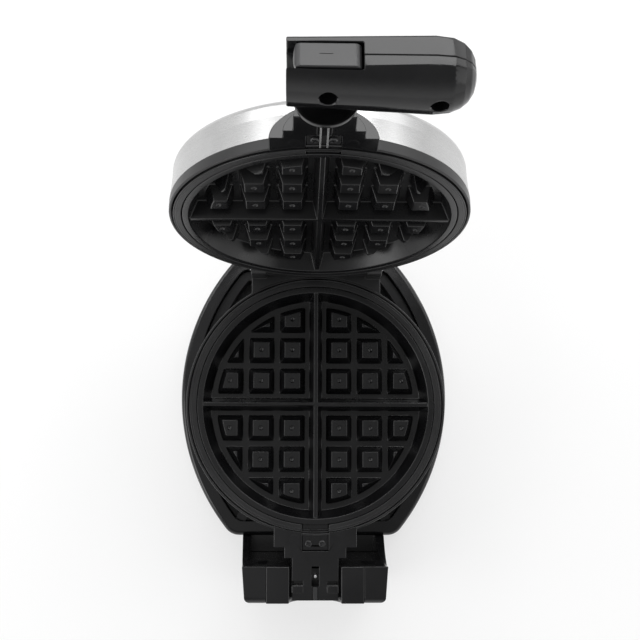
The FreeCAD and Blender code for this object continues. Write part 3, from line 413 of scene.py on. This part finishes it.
FINISH_OF_SLOT = {"black_plastic": SATIN, "ring_plastic": RING, "button_plastic": BUTTON, "nonstick": COATING,
                  "cover_steel": UNDER_STEEL, "bright_steel": PLATED, "heater_steel": SHEATH,
                  "reflector_metal": REFLECTOR, "bush_plastic": NYLON, "feet_rubber": RUBBER,
                  "tray_plastic": TRAY_BLACK_WITH_PAINTED_SHADE, "lens": LENS, "ceramic": CERAMIC}

for node_name, node_object in frame["nodes"].items():
    if not node_object.material_slots:
        node_object.data.materials.append(None)
    for material_slot in node_object.material_slots:
        material_slot.material = FINISH_OF_SLOT[SLOT_OF[node_name]]

# Mouldings that keep the plain node's form, with rounded edges: node and edge width in millimetres
EDGES = {"base_housing": 0.5, "base_bottom_cover": 0.5, "drip_tray": 0.4, "front_tower": 0.45,
         "front_saddle": 0.9, "rear_post": 1.0, "rear_cap": 1.0, "cord_gland": 0.5, "lower_ring": 0.6,
         "upper_ring": 0.6,
         "lower_cover": 0.25, "upper_cover": 0.25, "lower_trunnion": 0.5, "upper_trunnion": 0.5,
         "hinge_bracket": 0.7, "lid_hinge_arms": 0.6, "hinge_pin": 0.5, "handle_neck": 0.5,
         "handle_top_shell": 0.6, "handle_bottom_shell": 0.6, "release_button": 0.7, "rear_shaft": 0.4,
         "front_bush": 0.3, "lower_plate": 0.6, "upper_plate": 0.6}

# The square pegs carry round dimples, six in each quarter of a plate
PEG_FIRST = 18.9
PEG_PITCH = 24.87
PEG_TOP = 3
PEG_ROWS = 3
DIMPLE_BALL = 2.3
DIMPLE_DEPTH = 1.2


def dimples(lid):
    """Balls that bite into the tops of one plate's pegs."""
    rise = DIMPLE_BALL - DIMPLE_DEPTH - PEG_TOP
    level = AXIS_HEIGHT - rise if lid else AXIS_HEIGHT + rise
    steps = [(across, along) for across in range(PEG_ROWS) for along in range(PEG_ROWS - across)]
    places = []
    for across, along in steps:
        reach = PEG_FIRST + PEG_PITCH * across
        depth = PEG_FIRST + PEG_PITCH * along
        for side, end in ((1, 1), (1, -1), (-1, 1), (-1, -1)):
            places.append((side * reach, end * depth, level))
    return placed(ball(DIMPLE_BALL, (0, 0, 0), 40), places, "dimples", lid)


# The handle's two screw wells have wide rims
HANDLE_WELLS = ((0, -182), (58, -178))
WELL_RADIUS = 4.6
WELL_FLOOR = -9
WELL_RIM = 0.45
CONE_REACH = 6
CONE_DEPTH = 2
NEAR_WALL = 0.08
BELOW_FLOOR = 0.3


def widen_wells(shell):
    """Chamfer the mouths of the wells in the handle's underside, square to the surface round each."""
    shut = SWING.inverted()
    spots = [(shut @ corner.co) / MM for corner in shell.data.vertices]
    for across, along in HANDLE_WELLS:
        mouth = []
        for spot in spots:
            off_wall = abs(math.hypot(spot.x - across, spot.y - along) - WELL_RADIUS)
            if off_wall < NEAR_WALL and spot.z - AXIS_HEIGHT < WELL_FLOOR - BELOW_FLOOR:
                mouth.append(spot)
        middle = sum(mouth, Vector()) / len(mouth)
        rise = sum((spot.y - along) * (spot.z - middle.z) for spot in mouth)
        lean = rise / sum((spot.y - along) ** 2 for spot in mouth)
        tool = cone(WELL_RADIUS + CONE_REACH, WELL_RADIUS - CONE_DEPTH, WELL_RIM - CONE_REACH,
                    WELL_RIM + CONE_DEPTH)
        tool.rotation_euler = (math.atan(lean), 0, 0)
        tool.location = (across * MM, along * MM, middle.z * MM)
        settle(tool, lid=True)
        cut(shell, tool)


# The lid's stub has a narrow waist behind the cup and a plain flat where its ribs were
FLAT_GAP = 1
WAIST_HALF = 14.4
WAIST_FRONT = -157
WAIST_BACK = -135.2
STUB_HALF = 22
RIB_SIDE = 3.4
RIB_HALF = 1.2
RIB_FRONT = -154.55
RIB_BACK = -115
RIB_TRIM = 0.02


def shape_lid_stub(stub):
    """Level the broad ribs of the lid's stub, where the finer rails go, and narrow it behind the cup."""
    for low, high in ((-STUB_HALF, -WAIST_HALF), (WAIST_HALF, STUB_HALF)):
        tool = block((low, WAIST_FRONT, AXIS_HEIGHT - 2), (high, WAIST_BACK, AXIS_HEIGHT + STUB_HALF))
        settle(tool, lid=True)
        cut(stub, tool)
    top = AXIS_HEIGHT + FLAT_GAP + RIB_TRIM
    for side in (-RIB_SIDE, RIB_SIDE):
        tool = block((side - RIB_HALF, RIB_FRONT, AXIS_HEIGHT - 1), (side + RIB_HALF, RIB_BACK, top))
        settle(tool, lid=True)
        cut(stub, tool)


# The lower stub's groove
GROOVE_HALF = 2.6
GROOVE_DEPTH = 0.8
GROOVE_FRONT = -153.5
GROOVE_BACK = -141.8


def groove(stub):
    """A shallow groove from the latch slot to the front of the lower stub."""
    bottom = AXIS_HEIGHT - FLAT_GAP - GROOVE_DEPTH
    cut(stub, block((-GROOVE_HALF, GROOVE_FRONT, bottom), (GROOVE_HALF, GROOVE_BACK, AXIS_HEIGHT + 1)))


# Air slots in the bottom cover
SLOT_ROWS = 6
SLOT_FIRST = 30
SLOT_PITCH = 9
SLOT_SIDE = 42
SLOT_LENGTH = 20
SLOT_RADIUS = 1.6


def vent(cover):
    """Two rows of air slots through the bottom cover."""
    slots = []
    for side in (-SLOT_SIDE, SLOT_SIDE):
        for step in range(SLOT_ROWS):
            place = (side - SLOT_LENGTH / 2, SLOT_FIRST + SLOT_PITCH * step, 3)
            slot = rod(SLOT_RADIUS, 8, place, sides=24)
            edit(slot)
            choose(slot, lambda corner: corner.co.x > 0, "VERT")
            bpy.ops.transform.translate(value=(SLOT_LENGTH * MM, 0, 0))
            leave()
            settle(slot)
            slots.append(slot)
    cut(cover, join(slots, "slots"))


# The button's outer end bulges, and its face is scored
BUTTON_END = -18
BUTTON_BULGE = 18
BUTTON_MIDDLE = -0.4
BUTTON_FACE = -195
SCORE_LOW = (-4.7, -197.8, AXIS_HEIGHT - 0.2)
SCORE_HIGH = (2.2, -196.95, AXIS_HEIGHT + 0.2)


def finish_button(button):
    """Shape the button's outer end to an arc and score a fine line across the middle of its face."""
    tool = block((BUTTON_END - 6, BUTTON_FACE - 4, AXIS_HEIGHT - 9),
                 (BUTTON_END + 5, BUTTON_FACE + 5, AXIS_HEIGHT + 9))
    arc_middle = (BUTTON_END + BUTTON_BULGE, BUTTON_FACE, AXIS_HEIGHT + BUTTON_MIDDLE)
    cut(tool, rod(BUTTON_BULGE, 30, arc_middle, (math.pi / 2, 0, 0), 128))
    settle(tool, lid=True)
    cut(button, tool)
    line = block(SCORE_LOW, SCORE_HIGH)
    settle(line, lid=True)
    cut(button, line)


BEFORE_ROUNDING = {"upper_trunnion": shape_lid_stub, "base_bottom_cover": vent,
                   "handle_bottom_shell": widen_wells}
AFTER_ROUNDING = {"release_button": finish_button, "lower_trunnion": groove,
                  "lower_plate": lambda plate: cut(plate, dimples(False)),
                  "upper_plate": lambda plate: cut(plate, dimples(True))}
# Edges are rounded where they fold by more than this angle, or by 30 degrees
SHARP_EDGES = {"handle_bottom_shell": 55, "lower_trunnion": 55, "upper_trunnion": 55, "base_housing": 60,
               "lower_ring": 55, "upper_ring": 55}
# The front bush takes the dark screw finish instead of the nylon of its slot, so that the latch slot above it
# reads dark
FINISH_OF_NODE = {"upper_cover": LID_STEEL, "front_bush": BLACKENED, "handle_top_shell": HANDLE,
                  "handle_bottom_shell": HANDLE}

# Bores in the tower's face that the knob and the lenses cover, as seen from the front
COVERED_BORES = ((0, 44), (-34, 44), (34, 44))
BORE_CLEAR = 9


def ease_tower(tower, width):
    """Round the tower's sharp edges but leave the covered bores as they are."""
    mesh = tower.data
    sides = {}
    for face in mesh.polygons:
        for pair in face.edge_keys:
            sides.setdefault(pair, []).append(face.normal.copy())

    def folded(edge):
        normals = sides[edge.key]
        if len(normals) < 2 or normals[0].angle(normals[1], 0) < math.radians(30):
            return False
        middle = sum((mesh.vertices[corner].co for corner in edge.vertices), Vector()) / (2 * MM)
        gaps = [math.hypot(middle.x - across, middle.z - level) for across, level in COVERED_BORES]
        return min(gaps) > BORE_CLEAR

    edit(tower)
    choose(tower, folded, "EDGE")
    bpy.ops.mesh.bevel(offset=width * MM, segments=3, affect="EDGES", clamp_overlap=False, miter_outer="ARC")
    leave()


for node_name, edge_width in EDGES.items():
    part = moulded(node_name)
    if node_name in BEFORE_ROUNDING:
        BEFORE_ROUNDING[node_name](part)
    if node_name == "front_tower":
        ease_tower(part, edge_width)
    else:
        ease(part, edge_width, angle=SHARP_EDGES.get(node_name, 30))
    if node_name in AFTER_ROUNDING:
        AFTER_ROUNDING[node_name](part)
    smooth(part)
    slot_name = SLOT_OF[node_name]
    coat = FINISH_OF_NODE.get(node_name, FINISH_OF_SLOT[slot_name])
    settled_on(part, BODY_OF[node_name], coat, [node_name])

# Screws with cross slots; the head's seat is at the origin and the head is above it
HEAD_RADIUS = 2.8
HEAD_HEIGHT = 1.5
SHANK_RADIUS = 1.45


def cross_screw(length):
    """One domed screw with a cross slot."""
    screw = rod(HEAD_RADIUS, HEAD_HEIGHT, (0, 0, HEAD_HEIGHT / 2))
    settle(screw)
    edit(screw)
    top = HEAD_HEIGHT * MM * 0.9
    corners = screw.data.vertices
    choose(screw, lambda edge: all(corners[corner].co.z > top for corner in edge.vertices), "EDGE")
    bpy.ops.mesh.bevel(offset=HEAD_HEIGHT * 0.6 * MM, segments=4, affect="EDGES")
    choose(screw, lambda face: face.normal.z < -0.9)
    bpy.ops.mesh.inset(thickness=(HEAD_RADIUS - SHANK_RADIUS) * MM)
    bpy.ops.mesh.extrude_region_move(TRANSFORM_OT_translate={"value": (0, 0, -length * MM)})
    leave()
    arm = HEAD_RADIUS * 0.66
    blade = HEAD_RADIUS * 0.15
    for across, along in ((arm, blade), (blade, arm)):
        cut(screw, block((-across, -along, HEAD_HEIGHT * 0.3), (across, along, HEAD_HEIGHT * 2)))
    ease(screw, 0.08, 2, 40)
    smooth(screw)
    return screw


def screws(name, places, length, finish, lid=False, down=False):
    """Copies of a screw at the places of one screw node, each turned a little differently."""
    first = cross_screw(length)
    copies = [first] + [twin(first) for place in places[1:]]
    for step, (copy, place) in enumerate(zip(copies, places)):
        copy.location = [value * MM for value in place]
        copy.rotation_euler = (0, math.pi if lid or down else 0, 0.5 + 0.8 * step)
    piece = join(copies, name + "_cross_heads") if len(copies) > 1 else first
    piece.name = name + "_cross_heads"
    settle(piece, lid)
    return settled_on(piece, BODY_OF[name], finish, [name])


TAB_SCREWS = ((-5.4, -109.3), (5.4, -109.3))
STUB_SCREWS = ((-17.2, -106), (17.2, -106))
TAB_SINK = 2
TAB_SHANK = 8
HANDLE_SHANK = 14
screws("lower_plate_screws", [(*spot, AXIS_HEIGHT - TAB_SINK) for spot in TAB_SCREWS], TAB_SHANK, BLACKENED)
screws("upper_plate_screws", [(*spot, AXIS_HEIGHT + TAB_SINK) for spot in TAB_SCREWS], TAB_SHANK, BLACKENED,
       lid=True)
screws("handle_screw", [(*HANDLE_WELLS[1], AXIS_HEIGHT + WELL_FLOOR)], HANDLE_SHANK, BLACKENED, lid=True)

# Black plugs over the stub screws, almost level with the flat
PLUG_RADIUS = 3.75
PLUG_HEIGHT = 1.3
PLUG_SINK = FLAT_GAP + 0.6
for body_name, level, lid_side in (("lower_half", -PLUG_SINK, False), ("lid", PLUG_SINK, True)):
    plug = rod(PLUG_RADIUS, PLUG_HEIGHT, (0, 0, AXIS_HEIGHT + level), sides=48)
    settle(plug)
    ease(plug, 0.12, 2)
    smooth(plug)
    plugs = placed(plug, [(*spot, 0) for spot in STUB_SCREWS], body_name + "_screw_plugs", lid_side)
    settled_on(plugs, body_name, SATIN)

# A sleeve round each ring and the steel's flared hem behind it
SLEEVE_RADIUS = 103.4
SLEEVE_WALL = 2.1
SLEEVE_FRONT = 1.2
SLEEVE_BACK = 8.7
HEM_RADIUS = 103.2
COVER_RADIUS = 102.05
HEM_BACK = 24
HEM_WALL = 0.6
for half, side in (("lower", -1), ("upper", 1)):
    lid_side = side > 0
    levels = sorted((AXIS_HEIGHT + side * SLEEVE_FRONT, AXIS_HEIGHT + side * SLEEVE_BACK))
    sleeve = hollowed(cone(SLEEVE_RADIUS, SLEEVE_RADIUS, *levels, sides=192), SLEEVE_WALL)
    ease(sleeve, 0.7)
    smooth(sleeve)
    sleeve.name = half + "_ring_sleeve"
    settle(sleeve, lid_side)
    settled_on(sleeve, "lid" if lid_side else "lower_half", RING)
    levels = sorted((AXIS_HEIGHT + side * (SLEEVE_BACK + 0.1), AXIS_HEIGHT + side * HEM_BACK))
    radii = (HEM_RADIUS, COVER_RADIUS) if lid_side else (COVER_RADIUS, HEM_RADIUS)
    hem = hollowed(cone(*radii, *levels, sides=192), HEM_WALL)
    smooth(hem)
    hem.name = half + "_cover_hem"
    settle(hem, lid_side)
    steel = LID_STEEL if lid_side else UNDER_STEEL
    settled_on(hem, "lid" if lid_side else "lower_half", steel)

# Two fine beads along the inner edge of each ring
BEADS = ((100.1, 0.5), (98.5, 0.35))
BEAD_SINK = 0.55
for half, level, lid_side in (("lower_half", -BEAD_SINK, False), ("lid", BEAD_SINK, True)):
    loops = []
    for reach, thick in BEADS:
        bpy.ops.mesh.primitive_torus_add(major_radius=reach * MM, minor_radius=thick * MM, major_segments=192,
                                         minor_segments=12, location=(0, 0, (AXIS_HEIGHT + level) * MM))
        loops.append(bpy.context.object)
    beads = join(loops, half + "_ring_beads")
    settle(beads, lid_side)
    smooth(beads)
    settled_on(beads, half, SATIN)

# Two fine rails along the flat of the lid's stub, from the neck to the ring
RAIL_SIDE = 2.15
RAIL_RADIUS = 0.62
RAIL_LENGTH = 53
RAIL_PLACE = (0, -128.2, AXIS_HEIGHT + FLAT_GAP - 0.15)
rail = rod(RAIL_RADIUS, RAIL_LENGTH, RAIL_PLACE, (math.pi / 2, 0, 0), sides=20)
settle(rail)
ease(rail, 0.35, 3, 40)
smooth(rail)
rails = placed(rail, [(-RAIL_SIDE, 0, 0), (RAIL_SIDE, 0, 0)], "guide_rails", lid=True)
settled_on(rails, "lid", POLISHED)

# The catch in the latch slot: a strip across the slot that carries a bright pin
STRIP_LOW = (-3.3, -138, AXIS_HEIGHT - 9.5)
STRIP_HIGH = (3.3, -129, AXIS_HEIGHT - 8.5)
PIN_RADIUS = 1.3
PIN_LENGTH = 7
PIN_PLACE = (0.2, -134.6, AXIS_HEIGHT - 5.5)
strip = block(STRIP_LOW, STRIP_HIGH)
pin = rod(PIN_RADIUS, PIN_LENGTH, PIN_PLACE, sides=24)
settle(pin)
ease(strip, 0.3, 2)
ease(pin, 0.8, 4, 40)
smooth(pin)
smooth(strip)
pin.name = "latch_pin"
strip.name = "latch_strip"
settled_on(pin, "lower_half", PLATED)
settled_on(strip, "lower_half", SATIN)

# A grey tongue in the groove in front of the slot
TONGUE_LOW = (-1.5, -152.3, AXIS_HEIGHT - FLAT_GAP - 2.2)
TONGUE_HIGH = (1.7, -142.8, AXIS_HEIGHT - FLAT_GAP - 0.35)
tongue = block(TONGUE_LOW, TONGUE_HIGH)
ease(tongue, 0.35, 3)
smooth(tongue)
tongue.name = "latch_tongue"
settled_on(tongue, "lower_half", BUTTON)

# The button's spring, a wire coil that shortens as the button goes in; here it is one rigid shape of fixed
# length
SPRING_FOOT = (10.6, -188.7, AXIS_HEIGHT)
SPRING_RADIUS = 2.6
SPRING_WIRE = 0.4
SPRING_LENGTH = 5.6
SPRING_TURNS = 3.25


def coil():
    """An upright coil of wire that stands on the origin."""
    bpy.ops.mesh.primitive_circle_add(vertices=12, radius=SPRING_WIRE * MM, rotation=(math.pi / 2, 0, 0),
                                      location=(SPRING_RADIUS * MM, 0, SPRING_WIRE * MM))
    wire = bpy.context.object
    settle(wire)
    with_modifier(wire, "SCREW", axis="Z", angle=SPRING_TURNS * math.tau, steps=96, render_steps=96,
                  screw_offset=(SPRING_LENGTH - 2 * SPRING_WIRE) * MM, use_normal_calculate=True)
    edit(wire)
    bpy.ops.mesh.select_all(action="SELECT")
    bpy.ops.mesh.fill_holes(sides=12)
    bpy.ops.mesh.normals_make_consistent(inside=False)
    leave()
    return wire


spring = coil()
spring.name = "wire_button_spring"
spring.rotation_euler = (math.pi / 2, 0, 0)
spring.location = [value * MM for value in SPRING_FOOT]
settle(spring, lid=True)
smooth(spring)
settled_on(spring, "handle", PLATED, ["button_spring"])
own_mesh(spring)

# Control knob, modelled face up and then turned to face the front
KNOB_PLACE = (0, -155.6, 44)
KNOB_TURN = (math.pi / 2, 0, 0)
GRIP_RADIUS = 14.4
GRIP_HEIGHT = 4.4
GRIP_MIDDLE = 3.7
FLUTES = 20
FLUTE_RADIUS = 1.7
FLUTE_REACH = 15.3
DISH_EDGE = 1.6
DISH_DEPTH = 0.5
SKIRT_RADIUS = 16
SKIRT_HEIGHT = 1.7
STEM_RADIUS = 2.9
STEM_LENGTH = 12


def facing_front(piece, name):
    """Turn a piece that was modelled face up to the front and put it on the tower."""
    piece.location = [value * MM for value in KNOB_PLACE]
    piece.rotation_euler = KNOB_TURN
    piece.name = name
    settle(piece)
    return piece


def around(piece, count, start, sweep):
    """Copies of a piece turned about the upright axis, joined; the sweep is in degrees."""
    copies = [piece] + [twin(piece) for step in range(1, count)]
    for step, copy in enumerate(copies):
        copy.rotation_euler = (0, 0, math.radians(start + sweep * step / count))
    whole = join(copies, "ring_of_copies")
    settle(whole)
    return whole


grip = rod(GRIP_RADIUS, GRIP_HEIGHT, (0, 0, GRIP_MIDDLE), sides=96)
settle(grip)
ease(grip, 0.7)
flute = rod(FLUTE_RADIUS, 8, (FLUTE_REACH, 0, GRIP_MIDDLE), sides=24)
settle(flute)
cut(grip, around(flute, FLUTES, 0, 360))
edit(grip)
choose(grip, lambda face: face.normal.z > 0.99 and face.area > 1e-4)
bpy.ops.mesh.inset(thickness=DISH_EDGE * MM)
bpy.ops.mesh.extrude_region_move(TRANSFORM_OT_translate={"value": (0, 0, -DISH_DEPTH * MM)})
leave()
skirt = rod(SKIRT_RADIUS, SKIRT_HEIGHT, (0, 0, SKIRT_HEIGHT / 2), sides=96)
settle(skirt)
ease(skirt, 0.5)
stem = rod(STEM_RADIUS, STEM_LENGTH, (0, 0, 0.5 - STEM_LENGTH / 2))
settle(stem)
knob = join([grip, skirt, stem], "knob")
smooth(knob)
settled_on(facing_front(knob, "fluted_knob"), BODY_OF["control_knob"], SATIN,
           ["control_knob"])
mark = block((-0.6, 5.5, 5.2), (0.6, 12, 5.7))
ease(mark, 0.15, 2)
smooth(mark)
settled_on(facing_front(mark, "knob_mark"), BODY_OF["control_knob"], PRINT)

# Ticks and numbers round the knob
TICKS = 11
TICK_START = 135
TICK_SWEEP = -297
FIGURES = 5
FIGURE_SIZE = 5
FIGURE_REACH = 24
FIGURE_START = 225
FIGURE_SWEEP = 270
tick = block((-0.3, 18.2, 0.2), (0.3, 20.4, 0.7))
settle(tick)
ease(tick, 0.08, 2)
ticks = around(tick, TICKS, TICK_START, TICK_SWEEP)
settled_on(facing_front(ticks, "dial_ticks"), "base", PRINT)
for step in range(FIGURES):
    bpy.ops.object.text_add()
    figure = bpy.context.object
    figure.data.body = str(step + 1)
    figure.data.size = FIGURE_SIZE * MM
    figure.data.extrude = 0.15 * MM
    figure.data.align_x = "CENTER"
    figure.data.align_y = "CENTER"
    only(figure)
    bpy.ops.object.convert(target="MESH")
    angle = math.radians(FIGURE_START - FIGURE_SWEEP * step / (FIGURES - 1))
    figure = bpy.context.object
    figure.location = (FIGURE_REACH * MM * math.cos(angle), FIGURE_REACH * MM * math.sin(angle), 0.5 * MM)
    settle(figure)
    settled_on(facing_front(figure, "dial_number_%d" % (step + 1)), "base", PRINT)

# Indicator lenses in dark bezels
LENS_RADIUS = 3.4
LENS_PLACES = [(-34, 0, 0), (34, 0, 0)]
BEZEL_RADIUS = 5.2
BEZEL_WALL = 1.7
lens = rod(LENS_RADIUS, 2.6, (0, 0, 0.7), sides=48)
settle(lens)
ease(lens, 1.3, 6, 40)
smooth(lens)
bezel = rod(BEZEL_RADIUS, 1.4, (0, 0, 0.6), sides=64)
settle(bezel)
edit(bezel)
choose(bezel, lambda face: face.normal.z > 0.9)
bpy.ops.mesh.inset(thickness=BEZEL_WALL * MM)
bpy.ops.mesh.extrude_region_move(TRANSFORM_OT_translate={"value": (0, 0, -1.0 * MM)})
leave()
ease(bezel, 0.3, 3)
smooth(bezel)
lenses = placed(lens, LENS_PLACES, "lenses")
bezels = placed(bezel, LENS_PLACES, "bezels")
settled_on(facing_front(lenses, "domed_lenses"), "base", LENS,
           ["indicator_lenses"])
settled_on(facing_front(bezels, "lens_bezels"), "base", SATIN)

# Rubber feet with a ring groove underneath
FOOT_RADIUS = 8
FOOT_HEIGHT = 3
FOOT_PLACES = [(-46, -142, 0), (46, -142, 0), (-52, 124, 0), (52, 124, 0)]
FOOT_EDGE = 2
GROOVE_WIDTH = 1.5
FOOT_GROOVE = 0.8
foot = rod(FOOT_RADIUS, FOOT_HEIGHT, (0, 0, FOOT_HEIGHT / 2), sides=64)
settle(foot)
edit(foot)
choose(foot, lambda face: face.normal.z < -0.9)
bpy.ops.mesh.inset(thickness=FOOT_EDGE * MM)
bpy.ops.mesh.inset(thickness=GROOVE_WIDTH * MM)
choose(foot, lambda face: face.normal.z < -0.9 and 4.6 * MM < face.center.xy.length < 5.9 * MM)
bpy.ops.mesh.extrude_region_move(TRANSFORM_OT_translate={"value": (0, 0, FOOT_GROOVE * MM)})
leave()
ease(foot, 0.35, 3)
smooth(foot)
feet = placed(foot, FOOT_PLACES, "grooved_feet")
settled_on(feet, BODY_OF["rubber_feet"], RUBBER, ["rubber_feet"])

# Stage, light and camera
bpy.ops.mesh.primitive_plane_add(size=14)
floor = bpy.context.object
floor.name = "floor"
floor_paint, floor_tree, floor_surface, floor_place = shader("pale_floor", 0.8)
floor_surface.inputs["Base Color"].default_value = (0.35, 0.35, 0.35, 1)
floor_surface.inputs["Emission Color"].default_value = (1, 1, 1, 1)
floor_surface.inputs["Emission Strength"].default_value = 0.61
floor.data.materials.append(floor_paint)


def lamp(name, place, aim, width, depth, power):
    """A soft rectangular light that looks at a point."""
    light = bpy.data.lights.new(name, "AREA")
    light.shape = "RECTANGLE"
    light.size = width
    light.size_y = depth
    light.energy = power
    holder = bpy.data.objects.new(name, light)
    bpy.context.scene.collection.objects.link(holder)
    holder.location = place
    holder.rotation_euler = (Vector(aim) - Vector(place)).to_track_quat("-Z", "Y").to_euler()


lamp("back_softbox", (0.25, 1.55, 1.95), (0, 0.1, 0.2), 2.0, 1.4, 37)
lamp("left_back_softbox", (-1.1, 1.05, 1.25), (0, 0.1, 0.25), 1.0, 0.8, 5.5)
lamp("right_back_softbox", (1.3, 1.0, 1.05), (0, 0.1, 0.25), 0.9, 0.8, 3)
lamp("overhead_panel", (-0.75, 0, 2.3), (0, 0, 0.1), 1.2, 1.6, 1.2)
lamp("left_softbox", (-1.7, -0.5, 1.3), (0, 0, 0.1), 1.2, 1.2, 12)
lamp("right_softbox", (1.8, -0.3, 1.3), (0, 0, 0.1), 1.2, 1.2, 4)

# The studio walls are bright at the height of the table and darker overhead
world = bpy.data.worlds.new("studio")
bpy.context.scene.world = world
world.use_nodes = True
walls = world.node_tree
toward = walls.nodes.new("ShaderNodeTexCoord").outputs["Generated"]
height = add(walls, "ShaderNodeSeparateXYZ", Vector=toward).outputs["Z"]
glow = walls.nodes.new("ShaderNodeMapRange")
glow.interpolation_type = "SMOOTHSTEP"
walls.links.new(height, glow.inputs["Value"])
for name, value in (("From Min", 0.0), ("From Max", 0.85), ("To Min", 1.05), ("To Max", 0.25)):
    glow.inputs[name].default_value = value
walls.links.new(glow.outputs["Result"], walls.nodes["Background"].inputs["Strength"])
walls.nodes["Background"].inputs["Color"].default_value = (1, 1, 1, 1)
bpy.context.scene.view_settings.view_transform = "Standard"

camera = bpy.data.cameras.new("photo_camera")
camera.sensor_width = 36
camera.lens = 55.05
camera_holder = bpy.data.objects.new("photo_camera", camera)
bpy.context.scene.collection.objects.link(camera_holder)
camera_holder.location = (-0.01502, -0.02915, 0.90293)
camera_holder.rotation_euler = (0.1229, -0.0236, 0.0028)
bpy.context.scene.camera = camera_holder
